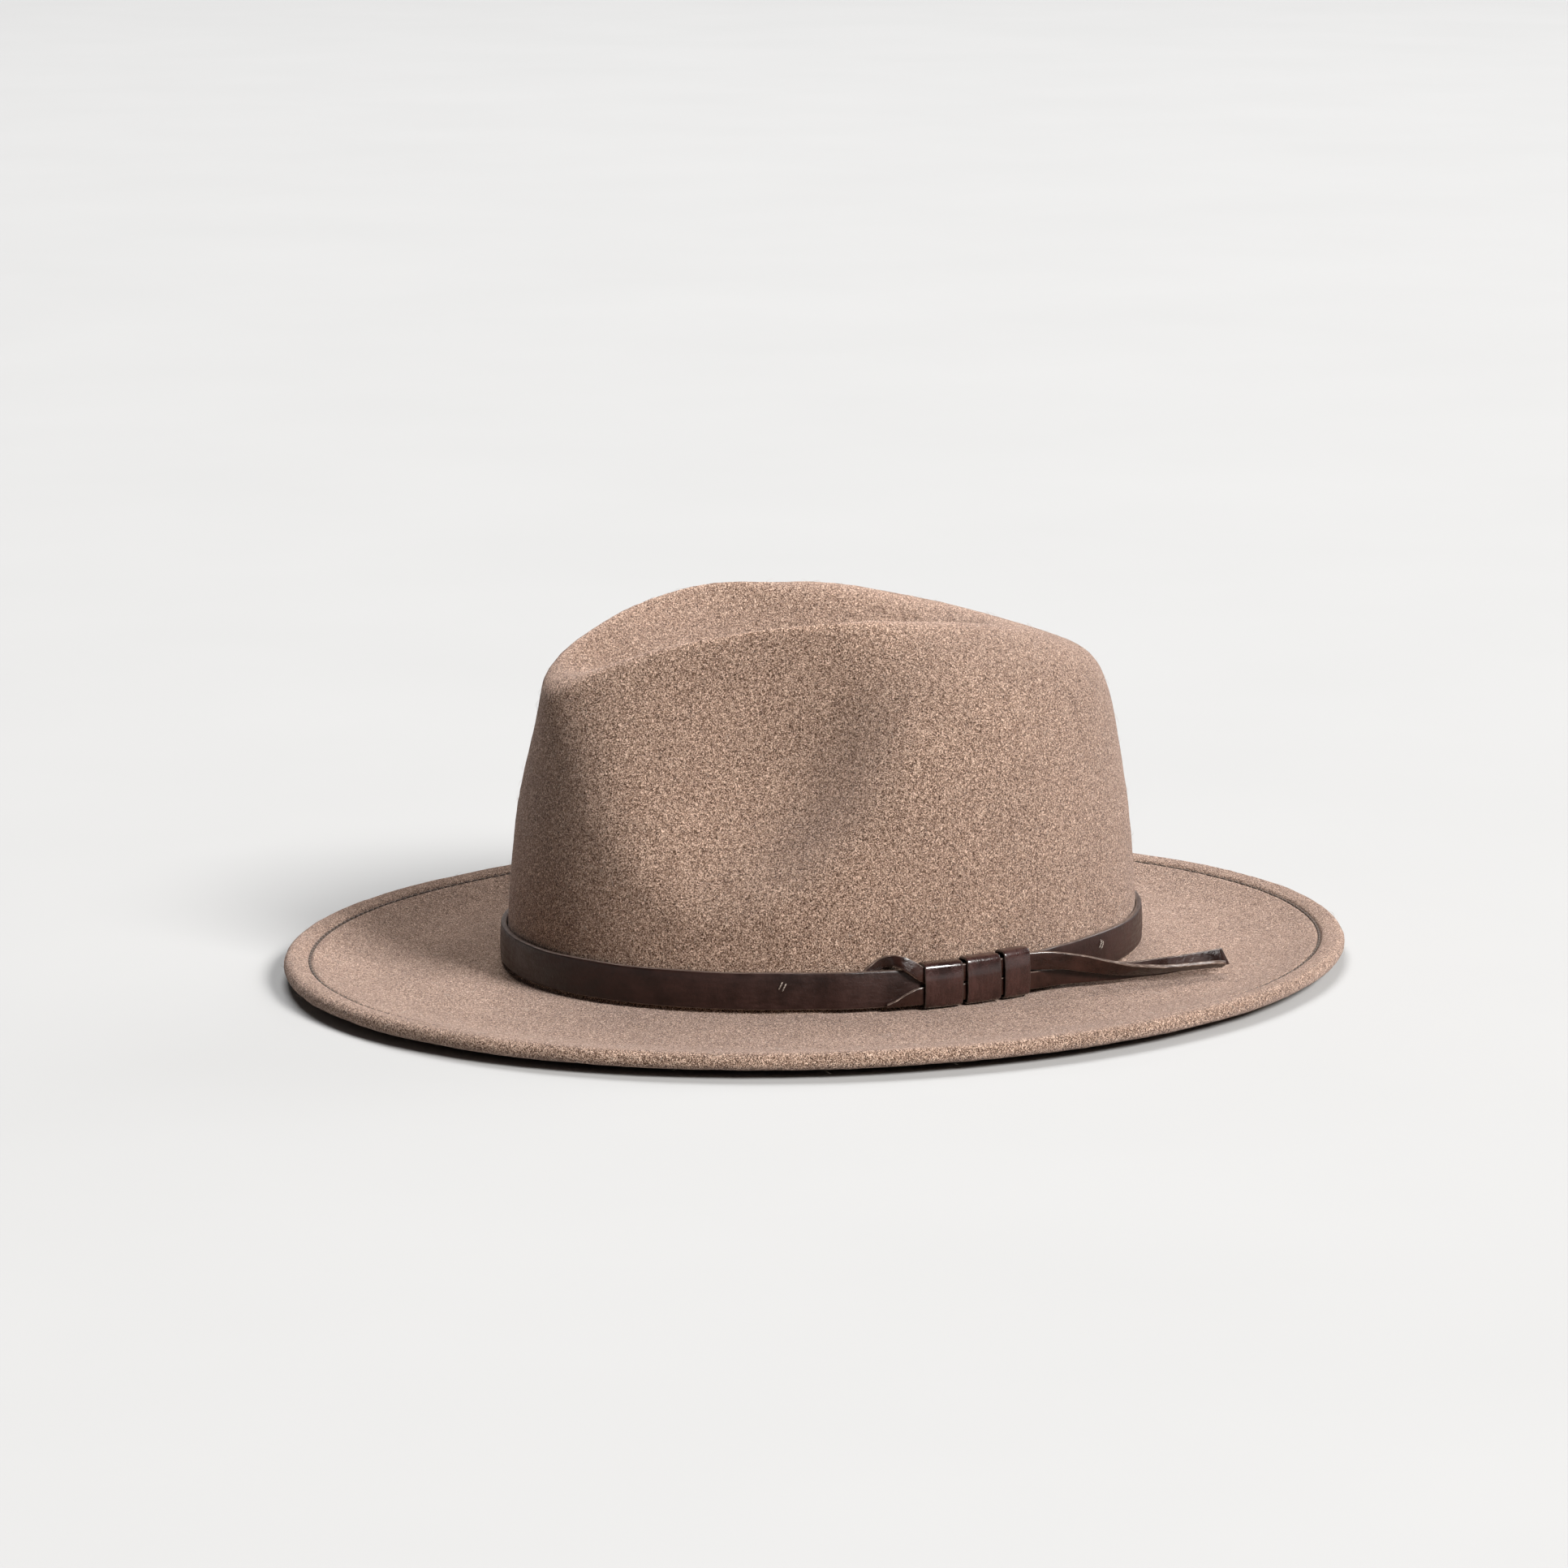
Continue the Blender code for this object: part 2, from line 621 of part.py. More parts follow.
def build_tacks(thread):
    """Short stitches over the strap's face that hold it to the felt."""
    for name, arc, z in (("band_tack_front", -56.0, 7.9), ("band_tack_back", 61.5, 8.4)):
        out = CLEARANCE + STRAP_THICKNESS + 0.3 + 0.3
        sections = []
        for along_arc, size in ((-1.5, 0.12), (-1.2, 0.26), (0.0, 0.3), (1.2, 0.26), (1.5, 0.12)):
            outline = []
            for k in range(8):
                a = 2.0 * math.pi * k / 8
                up = z + along_arc * 0.9 + size * math.sin(a)
                outline.append(beside_crown(arc + along_arc, out + size * math.cos(a), up))
            sections.append(outline)
        sweep(name, sections, False, thread)


def inner_patch(name, centre, width, low, high, depth, thickness, material):
    """Thin cloth piece lying against the inside of the crown."""
    half = width / 2.0 / CROWN_HALF_LENGTH
    headings = np.linspace(centre - half, centre + half, 7)
    levels = np.linspace(low, high, 3)
    sections = []
    for h in headings:
        outline = []
        for z in levels:
            r = float(wall_radius(h, z)) - depth
            outline.append((r * math.sin(h), -r * math.cos(h), z + BAND_LIFT))
        for z in levels[::-1]:
            r = float(wall_radius(h, z)) - depth - thickness
            outline.append((r * math.sin(h), -r * math.cos(h), z + BAND_LIFT))
        sections.append(outline)
    sweep(name, sections, False, material)


def build_inside(cloth, thread, label):
    heading = np.arange(AROUND) * 2.0 * math.pi / AROUND
    face = FELT + CLEARANCE + SWEATBAND_EASE
    back = face + SWEATBAND_THICKNESS
    sections = []
    for h in heading:
        outline = []
        for z, depth in (
            (SWEATBAND_BOTTOM, face + 0.25),
            (0.3, face),
            (16.0, face),
            (SWEATBAND_TOP - 0.3, face),
            (SWEATBAND_TOP, face + 0.3),
            (SWEATBAND_TOP, back - 0.3),
            (SWEATBAND_TOP - 0.3, back),
            (16.0, back),
            (0.3, back),
            (SWEATBAND_BOTTOM, back - 0.25),
        ):
            r = float(wall_radius(h, z)) - depth
            outline.append((r * math.sin(h), -r * math.cos(h), z + BAND_LIFT))
        sections.append(outline)
    sweep("sweatband", sections, True, cloth)

    ring = np.arange(RING_STEPS) * 2.0 * math.pi / RING_STEPS
    radius = wall_radius(ring, 1.0) - back - CLEARANCE - THREAD_RADIUS
    level = np.full(RING_STEPS, 1.0)
    sections = ring_sections(ring, radius, level, THREAD_RADIUS, 5)
    sweep("sweatband_thread", sections, True, thread)

    start = back + CLEARANCE
    inner_patch("sweatband_tape", math.pi, TAPE_WIDTH, TAPE_BOTTOM, TAPE_TOP, start, TAPE_THICKNESS, cloth)
    centre = math.pi - (TAPE_WIDTH / 2 + 3.0 + LABEL_WIDTH / 2) / CROWN_HALF_LENGTH
    inner_patch("size_label", centre, LABEL_WIDTH, LABEL_BOTTOM, LABEL_BOTTOM + LABEL_HEIGHT, start,
                LABEL_THICKNESS, label)


def build():
    clear_scene()
    felt = make_material("wool_felt", (0.27, 0.20, 0.155), 0.95)
    leather = make_material("dark_leather", (0.035, 0.022, 0.018), 0.42)
    thong = make_material("lace_leather", (0.040, 0.025, 0.020), 0.48)
    keeper = make_material("keeper_leather", (0.032, 0.020, 0.017), 0.40)
    seam = make_material("felt_thread", (0.16, 0.115, 0.09), 0.9)
    tack = make_material("tack_thread", (0.30, 0.24, 0.20), 0.8)
    steel = make_material("brim_wire_steel", (0.55, 0.55, 0.56), 0.35, 1.0)
    cloth = make_material("sweatband_cloth", (0.045, 0.036, 0.032), 0.85)
    label = make_material("label_cloth", (0.55, 0.50, 0.44), 0.9)
    build_felt(felt)
    build_hem(seam, steel)
    build_strap(leather)
    build_loops(keeper)
    lace("lace_upper", UPPER_BESIDE, UPPER_FREE, thong)
    lace("lace_lower", LOWER_BESIDE, LOWER_FREE, thong)
    build_tacks(tack)
    build_inside(cloth, seam, label)


build()
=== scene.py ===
"""Looks of a wool-felt fedora: felt skin and nap, leather band and knot, stitching,
lining band, light and camera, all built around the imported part.

Frame: +Z up, the front of the hat looks along -Y, the wearer's left is +X.
Shapes are worked out in millimetres in the hat's own heights, where 0 is the
lower edge of the hatband; world() turns them into metres in the part's frame.
"""
from math import copysign, cos, exp, hypot, pi, radians, sin, sqrt

import bmesh
import bpy
import numpy as np
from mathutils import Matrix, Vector

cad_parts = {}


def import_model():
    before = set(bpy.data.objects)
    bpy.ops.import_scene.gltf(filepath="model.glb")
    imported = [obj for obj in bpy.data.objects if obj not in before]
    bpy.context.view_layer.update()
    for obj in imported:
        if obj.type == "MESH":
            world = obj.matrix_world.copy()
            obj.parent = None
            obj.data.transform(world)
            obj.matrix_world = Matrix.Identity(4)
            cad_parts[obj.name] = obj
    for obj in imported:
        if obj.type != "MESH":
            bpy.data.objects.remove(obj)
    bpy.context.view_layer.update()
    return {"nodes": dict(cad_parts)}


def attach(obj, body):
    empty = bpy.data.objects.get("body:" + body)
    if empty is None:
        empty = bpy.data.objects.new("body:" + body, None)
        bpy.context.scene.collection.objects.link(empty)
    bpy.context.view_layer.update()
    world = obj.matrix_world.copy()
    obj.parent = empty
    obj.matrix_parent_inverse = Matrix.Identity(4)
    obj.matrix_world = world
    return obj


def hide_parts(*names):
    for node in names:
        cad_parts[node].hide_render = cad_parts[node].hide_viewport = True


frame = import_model()

MM = 0.001
TAU = 2.0 * pi
norm = np.linalg.norm

# ---- felt body, as in the part ----
CROWN_HALF_LENGTH = 105.0
CROWN_HALF_WIDTH = 86.8
FELT = 2.5
BRIM_HALF_LENGTH = 175.2
BRIM_HALF_WIDTH = 153.6
BRIM_FORWARD_SHIFT = 1.6
BRIM_DROP = 1.3
BAND_LIFT = 5.3
WALL_LEAN = 9.6
WALL_LEAN_HEIGHT = 84.0
WALL_LEAN_POWER = 1.8
HEADING = [0, 14, 28, 40, 52, 66, 80, 98, 125, 150, 180]
RIDGE_RADIUS = [96.0, 79.3, 65.1, 57.2, 52.3, 48.6, 45.5, 43.5, 50.2, 60.3, 65.2]
RIDGE_HEIGHT = [97.1, 105.5, 110.8, 113.2, 114.4, 115.0, 115.2, 114.2, 111.8, 105.9, 102.3]
RIDGE_ROUNDING = [6, 6, 5, 5, 5, 5, 6, 8, 10, 11, 11]
PINCH_FOOT = [62, 52, 32, 23, 25, 36, 47, 55, 62, 66, 68]
FOOT_REACH = [13.4, 16.0, 19.0, 19.0, 21.0, 25.0, 31.0, 38.0, 34.0, 32.4, 29.2]
RIDGE_REACH = [5.7, 17.0, 44.0, 60.0, 64.0, 58.0, 41.0, 26.0, 20.4, 23.3, 25.0]
RIDGE_SLOPE = [47.5, 52.0, 92.0, 100.0, 99.0, 88.0, 66.0, 40.0, 29.1, 23.0, 26.4]
CREASE_FLOOR = 86.0
BRIM_FRACTION = [0.0, 0.2, 0.40, 0.53, 0.72, 0.87, 0.96, 1.0]
BRIM_HEIGHT = [-1.3, -2.0, -2.8, -2.8, -1.2, 1.3, 2.5, 2.6]
HEM_ROUND = 2.6
HEM_WIDTH = 9.6
HEM_GAP = 0.3
SEAM_INSET = 8.2
WIRE_CHANNEL_RADIUS = 1.65
WIRE_INSET = 3.6

# ---- band, laces, keepers and lining, as in the part ----
CLEARANCE = 0.3
STRAP_THICKNESS = 1.8
STRAP_BOTTOM = 0.2
STRAP_TOP = 11.7
STRAP_LIFT = 1.5
LIFT_START = -48.0
LIFT_END = 41.0
LIFT_RAMP = 14.0
LOOP_SPANS = [(-13.1, -0.5), (0.9, 12.7), (14.1, 23.5)]
LOOP_TOPS = [13.2, 13.7, 14.2]
LOOP_BOTTOM = -0.9
LOOP_THICKNESS = 0.8
LOOP_CORNER = 1.8
LACE_WIDTH = 5.4
LACE_THICKNESS = 1.2
SWEATBAND_BOTTOM = -1.6
SWEATBAND_TOP = 22.0
SWEATBAND_THICKNESS = 1.1
SWEATBAND_EASE = 0.15
TAPE_WIDTH = 13.0
TAPE_BOTTOM = 2.2
TAPE_TOP = 20.8
TAPE_THICKNESS = 0.6
LABEL_WIDTH = 17.0
LABEL_BOTTOM = 5.0
LABEL_HEIGHT = 14.0
LABEL_THICKNESS = 0.5

# ---- fineness of the visual meshes ----
AROUND = 360
CREASE_ROWS = 22
BAND_STEPS = 420
THREAD = 0.42
YARN_PITCH = 0.42
STITCH_PITCH = 3.4
STITCH_SHARE = 0.86
FIBRES = 3600

# ---- camera ----
CAMERA_AZIMUTH = 62.0
CAMERA_ELEVATION = 12.87
CAMERA_DISTANCE = 1.8
CAMERA_LENS = 127.87
CAMERA_SHIFT = (-0.02542, 0.10165)


def world(points):
    """Metres in the part's frame from millimetres around the hat's middle."""
    return (np.asarray(points, float) + [0.0, BRIM_FORWARD_SHIFT, 0.0]) * MM


# ---- smooth curves ----
def by_heading(values):
    """Smooth closed curve through one value per heading, alike on both sides."""
    angles = np.array(HEADING + [360 - a for a in HEADING[-2::-1]], float)
    heights = np.array(list(values) + list(values[-2::-1]), float)
    count = len(angles) - 1
    gap = np.diff(angles)
    rise = np.diff(heights) / gap
    system = np.zeros((count, count))
    target = np.zeros(count)
    for i in range(count):
        before = (i - 1) % count
        system[i, before] += gap[before]
        system[i, i] += 2.0 * (gap[before] + gap[i])
        system[i, (i + 1) % count] += gap[i]
        target[i] = 6.0 * (rise[i] - rise[before])
    bend = np.linalg.solve(system, target)
    bend = np.append(bend, bend[0])

    def at(degrees):
        turned = np.asarray(degrees, float) % 360.0
        i = np.clip(np.searchsorted(angles, turned, side="right") - 1, 0, count - 1)
        ahead = (angles[i + 1] - turned) / gap[i]
        behind = (turned - angles[i]) / gap[i]
        straight = ahead * heights[i] + behind * heights[i + 1]
        curved = (ahead ** 3 - ahead) * bend[i] + (behind ** 3 - behind) * bend[i + 1]
        return straight + gap[i] ** 2 / 6.0 * curved

    return at


def along(knots, values, x):
    """Smooth open curve through the points (knots, values), level at both ends."""
    knots = np.asarray(knots, float)
    values = np.asarray(values, float)
    slope = np.zeros(len(knots))
    step = np.diff(values) / np.diff(knots)
    for i in range(1, len(knots) - 1):
        if step[i - 1] * step[i] > 0:
            slope[i] = 2.0 * step[i - 1] * step[i] / (step[i - 1] + step[i])
    x = np.clip(np.asarray(x, float), knots[0], knots[-1])
    i = np.clip(np.searchsorted(knots, x, side="right") - 1, 0, len(knots) - 2)
    gap = knots[i + 1] - knots[i]
    t = (x - knots[i]) / gap
    start = (2 * t ** 3 - 3 * t ** 2 + 1) * values[i] + (t ** 3 - 2 * t ** 2 + t) * gap * slope[i]
    end = (3 * t ** 2 - 2 * t ** 3) * values[i + 1] + (t ** 3 - t ** 2) * gap * slope[i + 1]
    return start + end


def oval(heading, half_length, half_width):
    across = np.sin(heading) / half_width
    forward = np.cos(heading) / half_length
    return 1.0 / np.sqrt(across ** 2 + forward ** 2)


def wall_lean(height):
    return WALL_LEAN * (np.maximum(height, 0.0) / WALL_LEAN_HEIGHT) ** WALL_LEAN_POWER


def wall_radius(heading, height):
    lean = wall_lean(height)
    return oval(heading, CROWN_HALF_LENGTH - lean, CROWN_HALF_WIDTH - lean)


def edge_radius(heading):
    return oval(heading, BRIM_HALF_LENGTH, BRIM_HALF_WIDTH) + BRIM_FORWARD_SHIFT * np.cos(heading)


def brim_point(heading, fraction):
    inner = wall_radius(heading, 0.0)
    radius = inner + (edge_radius(heading) - inner) * fraction
    return radius, along(BRIM_FRACTION, BRIM_HEIGHT, fraction)


def from_edge(heading, inset):
    """Brim point a given distance inside the outer edge."""
    width = edge_radius(heading) - wall_radius(heading, 0.0)
    return brim_point(heading, 1.0 - inset / width)


def bezier(p0, p1, p2, p3, u):
    w = 1.0 - u
    return w ** 3 * p0 + 3 * w * w * u * p1 + 3 * w * u * u * p2 + u ** 3 * p3


def bezier_slope(p0, p1, p2, p3, u):
    w = 1.0 - u
    return 3 * w * w * (p1 - p0) + 6 * w * u * (p2 - p1) + 3 * u * u * (p3 - p2)


def forward_at(line, k):
    """Direction of a line of points at its k-th one."""
    forward = line[min(k + 1, len(line) - 1)] - line[max(k - 1, 0)]
    return forward / norm(forward)


def smooth_path(stations, per_span):
    """Rounded line through the stations."""
    stations = np.asarray(stations, float)
    padded = np.vstack([2 * stations[0] - stations[1], stations, 2 * stations[-1] - stations[-2]])
    line = []
    for k in range(1, len(padded) - 2):
        a, b, c, d = padded[k - 1:k + 3]
        for step in range(per_span):
            t = step / per_span
            line.append(0.5 * (2 * b + (c - a) * t + (2 * a - 5 * b + 4 * c - d) * t * t
                               + (3 * b - a - 3 * c + d) * t ** 3))
    line.append(stations[-1])
    return np.array(line)


# ---- crown and brim ----
def crown_rows(heading, in_crease, over_ridge, down_face, down_wall):
    """Rows of (radius, height) from the crease floor over the ridge to the band."""
    degrees = np.degrees(heading)
    ridge_r, ridge_z, rounding, foot, foot_reach, ridge_reach, slope = (
        by_heading(table)(degrees) for table in (RIDGE_RADIUS, RIDGE_HEIGHT, RIDGE_ROUNDING, PINCH_FOOT,
                                                 FOOT_REACH, RIDGE_REACH, RIDGE_SLOPE))
    slope = np.radians(slope)

    rise = ridge_z - CREASE_FLOOR
    steep = 2.0 * rise / ridge_r
    stop = 1.0 - rounding / np.sqrt(1.0 + steep ** 2) / ridge_r
    rows = []
    for share in in_crease:
        reach = share * stop
        rows.append((ridge_r * reach, CREASE_FLOOR + rise * reach ** 2))

    foot_r = wall_radius(heading, foot)
    lean = (wall_radius(heading, foot + 0.5) - foot_r) / 0.5
    size = np.sqrt(1.0 + lean ** 2)
    radii = (foot_r, foot_r + foot_reach * lean / size, ridge_r + ridge_reach * np.cos(slope), ridge_r)
    heights = (foot, foot + foot_reach / size, ridge_z - ridge_reach * np.sin(slope), ridge_z)
    last = 1.0 - rounding / (3.0 * ridge_reach)

    in_r = ridge_r * stop
    in_z = CREASE_FLOOR + rise * stop ** 2
    in_slope = steep * stop
    in_size = np.sqrt(1.0 + in_slope ** 2)
    out_r, out_z = (bezier(*axis, last) for axis in (radii, heights))
    out_dr, out_dz = (bezier_slope(*axis, last) for axis in (radii, heights))
    out_size = np.hypot(out_dr, out_dz)
    pull = 0.6 * rounding
    bow_r = (in_r, in_r + pull / in_size, out_r + pull * out_dr / out_size, out_r)
    bow_z = (in_z, in_z + pull * in_slope / in_size, out_z + pull * out_dz / out_size, out_z)
    for share in over_ridge:
        rows.append((bezier(*bow_r, share), bezier(*bow_z, share)))
    for share in down_face:
        u = last * (1.0 - share)
        rows.append((bezier(*radii, u), bezier(*heights, u)))
    for share in down_wall:
        height = foot * (1.0 - share) + CLEARANCE * share
        rows.append((wall_radius(heading, height), height))
    return rows


def place(heading, radius, height):
    """Millimetre positions of one row of points, height from the resting plane."""
    x = radius * np.sin(heading)
    y = -radius * np.cos(heading)
    z = np.broadcast_to(height, heading.shape) + BAND_LIFT
    return np.stack([x, y, z], axis=-1)


def around_hat(heading, radius, height):
    """Position of one such point."""
    return [radius * sin(heading), -radius * cos(heading), height + BAND_LIFT]


def grid_normals(grid):
    """Outward direction at each point of rows of rings that run down the outside."""
    around = np.roll(grid, -1, axis=1) - np.roll(grid, 1, axis=1)
    down = np.gradient(grid, axis=0)
    normal = np.cross(down, around)
    return normal / np.maximum(norm(normal, axis=2, keepdims=True), 1e-9)


def inward(rows, heading, depth):
    """Rows moved into the hat by a depth, square to the surface."""
    grid = np.array([place(heading, r, z) for r, z in rows])
    return grid - grid_normals(grid) * depth


def ripple(points, wavelength, seed):
    """Smooth random unevenness of about unit size at each millimetre point."""
    waves = 28
    rng = np.random.default_rng(seed)
    direction = rng.normal(size=(waves, 3))
    direction /= norm(direction, axis=1, keepdims=True)
    turns = TAU / (wavelength * rng.uniform(0.65, 1.6, waves))
    phase = rng.uniform(0.0, TAU, waves)
    waves_at = np.asarray(points) @ (direction * turns[:, None]).T + phase
    return np.sin(waves_at).sum(axis=-1) / sqrt(waves / 2.0)


# ---- mesh helpers ----
def add_object(name, data):
    item = bpy.data.objects.new(name, data)
    bpy.context.scene.collection.objects.link(item)
    return item


def make_piece(name, points, faces, materials, face_material=None):
    """Mesh object from millimetre points, with its faces turned outward."""
    mesh = bpy.data.meshes.new(name)
    mesh.from_pydata(world(points).tolist(), [], faces)
    for material in materials:
        mesh.materials.append(material)
    if face_material is not None:
        mesh.polygons.foreach_set("material_index", face_material)
    work = bmesh.new()
    work.from_mesh(mesh)
    bmesh.ops.recalc_face_normals(work, faces=work.faces)
    work.to_mesh(mesh)
    work.free()
    mesh.shade_smooth()
    return add_object(name, mesh)


def add_lay(piece, along_mm, across_mm):
    """Stores how far each point lies along and across its strip, in metres."""
    lay = np.zeros((len(along_mm), 3), np.float32)
    lay[:, 0] = np.asarray(along_mm) * MM
    lay[:, 1] = np.asarray(across_mm) * MM
    layer = piece.data.attributes.new("lay", "FLOAT_VECTOR", "POINT")
    layer.data.foreach_set("vector", lay.ravel())


def ring_faces(first, second, count):
    """Faces between two rings of points, numbered from first and from second."""
    following = [(i + 1) % count for i in range(count)]
    return [(first + i, second + i, second + j, first + j) for i, j in enumerate(following)]


def tube_faces(total, count):
    """Faces of an open tube of rings, with a cap on each end."""
    faces = []
    for k in range(total - 1):
        faces.extend(ring_faces(k * count, (k + 1) * count, count))
    faces.append(tuple(range(count)))
    faces.append(tuple((total - 1) * count + i for i in reversed(range(count))))
    return faces


def sweep(name, sections, closed, materials, strip_material=None):
    """Piece through closed outlines, joined end to end or capped.

    strip_material gives a material number for each point of the outline.
    """
    sections = np.asarray(sections, float)
    total, count = sections.shape[:2]
    strips = list(strip_material or [0] * count)
    if closed:
        faces = []
        for k in range(total):
            faces.extend(ring_faces(k * count, (k + 1) % total * count, count))
        face_material = strips * total
    else:
        faces = tube_faces(total, count)
        face_material = strips * (total - 1) + [len(materials) - 1] * 2
    piece = make_piece(name, sections.reshape(-1, 3), faces, materials, face_material)
    middle = sections.mean(axis=1)
    step = norm(np.diff(middle, axis=0), axis=1)
    travelled = np.concatenate([[0.0], np.cumsum(step)])
    girth = norm(np.roll(sections[0], -1, axis=0) - sections[0], axis=1)
    across = np.concatenate([[0.0], np.cumsum(girth)[:-1]])
    add_lay(piece, np.repeat(travelled, count), np.tile(across, total))
    return piece


def merge(name, parts, materials):
    """One piece from many (points, faces, lay) bodies."""
    points, part_faces, lays = zip(*parts)
    faces = []
    start = 0
    for part, own in zip(points, part_faces):
        faces.extend(tuple(start + i for i in face) for face in own)
        start += len(part)
    piece = make_piece(name, np.vstack(points), faces, materials)
    add_lay(piece, *np.vstack(lays).T)
    return piece


def rounded_rectangle(low_a, high_a, low_b, high_b, radius, steps, fill=(0.07, 0.5, 0.93)):
    """Outline with round corners, anticlockwise; fill spaces points along its sides."""
    outline = []
    for a, b, first in (
        (high_a - radius, low_b + radius, -90),
        (high_a - radius, high_b - radius, 0),
        (low_a + radius, high_b - radius, 90),
        (low_a + radius, low_b + radius, 180),
    ):
        for k in range(steps + 1):
            turn = radians(first + 90.0 * k / steps)
            outline.append((a + radius * cos(turn), b + radius * sin(turn)))
    filled = []
    for k, (a, b) in enumerate(outline):
        filled.append((a, b))
        if k % (steps + 1) == steps:
            next_a, next_b = outline[(k + 1) % len(outline)]
            filled.extend((a + (next_a - a) * share, b + (next_b - b) * share) for share in fill)
    return filled


def rim_of(places, low, high, inset=0.2):
    """Material number of each outline point: 1 on the cut edges, 0 between them."""
    return [int(at < low + inset or at > high - inset) for at in places]


# ---- materials ----
class Shader:
    """Short way of wiring nodes into one material."""

    def __init__(self, name, roughness, specular, **sockets):
        self.material = bpy.data.materials.new(name)
        self.material.use_nodes = True
        self.tree = self.material.node_tree
        self.main = self.tree.nodes["Principled BSDF"]
        self.main.inputs["Roughness"].default_value = roughness
        self.main.inputs["Specular IOR Level"].default_value = specular
        for socket, value in sockets.items():
            self.main.inputs[socket.replace("_", " ")].default_value = value
        self.place = self.node("ShaderNodeTexCoord", {})["Object"]

    def node(self, kind, inputs, **settings):
        """New node, each input given as a number or as the socket that feeds it."""
        made = self.tree.nodes.new(kind)
        for key, value in settings.items():
            setattr(made, key, value)
        for key, value in inputs.items():
            if isinstance(value, bpy.types.NodeSocket):
                self.tree.links.new(value, made.inputs[key])
            else:
                made.inputs[key].default_value = value
        return made.outputs

    def noise(self, scale, detail=3.0, roughness=0.55, distortion=0.0, vector=None):
        return self.node("ShaderNodeTexNoise", {
            "Scale": scale, "Detail": detail, "Roughness": roughness, "Distortion": distortion,
            "Vector": vector or self.place})["Fac"]

    def cells(self, scale):
        return self.node("ShaderNodeTexVoronoi", {"Scale": scale, "Vector": self.place})["Distance"]

    def stored(self, name, output):
        return self.node("ShaderNodeAttribute", {}, attribute_name=name)[output]

    def lay(self, *size):
        """Place along and across the strip, stretched by size."""
        lay = self.stored("lay", "Vector")
        return self.node("ShaderNodeVectorMath", {0: lay, 1: size}, operation="MULTIPLY")["Vector"]

    def along_across(self):
        apart = self.node("ShaderNodeSeparateXYZ", {0: self.stored("lay", "Vector")})
        return apart[0], apart[1]

    def ramp(self, source, stops):
        made = self.tree.nodes.new("ShaderNodeValToRGB")
        ramp = made.color_ramp
        while len(ramp.elements) < len(stops):
            ramp.elements.new(0.5)
        for element, (position, colour) in zip(ramp.elements, stops):
            element.position = position
            element.color = (*colour, 1.0)
        self.tree.links.new(source, made.inputs["Fac"])
        return made.outputs["Color"]

    def grey(self, source, low, high, start, end):
        return self.ramp(source, [(start, (low,) * 3), (end, (high,) * 3)])

    def shade(self, factor, colour, by):
        """Colour multiplied by another one, by a share of the full effect."""
        return self.node("ShaderNodeMix", {"Factor": factor, 6: colour, 7: by},
                         data_type="RGBA", blend_type="MULTIPLY")[2]

    def math(self, operation, first, second=0.0):
        return self.node("ShaderNodeMath", {0: first, 1: second}, operation=operation)[0]

    def blend(self, first, share, second, second_share):
        """The sum of two values, each times its share."""
        return self.math("ADD", self.math("MULTIPLY", first, share),
                         self.math("MULTIPLY", second, second_share))

    def wave(self, source, size):
        """Ripple between 0 and twice its size."""
        return self.math("ADD", self.math("MULTIPLY", self.math("SINE", source), size), size)

    def bump(self, height, distance, strength, under=None):
        inputs = {"Strength": strength, "Distance": distance, "Height": height}
        if under is not None:
            inputs["Normal"] = under
        return self.node("ShaderNodeBump", inputs)["Normal"]

    def finish(self, colour, normal=None, roughness=None):
        for source, name in ((colour, "Base Color"), (normal, "Normal"), (roughness, "Roughness")):
            if source is not None:
                self.tree.links.new(source, self.main.inputs[name])
        return self.material


def felt_material():
    """Brushed wool felt: curled fine grain, small flecks and soft cloudy patches."""
    felt = Shader("wool_felt", 0.95, 0.08, Sheen_Weight=0.34, Sheen_Roughness=0.3,
                  Sheen_Tint=(0.95, 0.80, 0.80, 1.0))
    curl = felt.noise(1800.0, 1.5, 0.6, 1.8)
    grain = felt.noise(3000.0, 1.0, 0.6, 0.8)
    cloud = felt.noise(46.0, 3.0, 0.55)
    fleck = felt.cells(900.0)
    nap = felt.blend(curl, 0.62, grain, 0.38)
    colour = felt.ramp(nap, [
        (0.40, (0.040, 0.021, 0.0135)),
        (0.46, (0.140, 0.083, 0.058)),
        (0.53, (0.345, 0.224, 0.163)),
        (0.60, (0.785, 0.585, 0.460)),
    ])
    warm = felt.grey(cloud, 0.95, 1.05, 0.3, 0.7)
    colour = felt.shade(1.0, colour, warm)
    lint = felt.grey(fleck, 1.22, 1.0, 0.05, 0.22)
    colour = felt.shade(0.5, colour, lint)
    # multiplies in the per-point painted shade, painted highlight and faint random tone
    colour = felt.shade(1.0, colour, felt.stored("painted_light_and_tone", "Color"))
    soft = felt.bump(cloud, 0.0004, 0.3)
    coarse = felt.bump(curl, 0.0007, 0.9, soft)
    return felt.finish(colour, felt.bump(grain, 0.0002, 0.7, coarse))


def fibre_material():
    fibre = Shader("wool_fibre", 0.8, 0.25, Sheen_Weight=0.3)
    colour = fibre.ramp(fibre.noise(160.0, 2.0), [
        (0.35, (0.20, 0.145, 0.11)),
        (0.50, (0.40, 0.32, 0.26)),
        (0.66, (0.66, 0.58, 0.50)),
    ])
    return fibre.finish(colour)


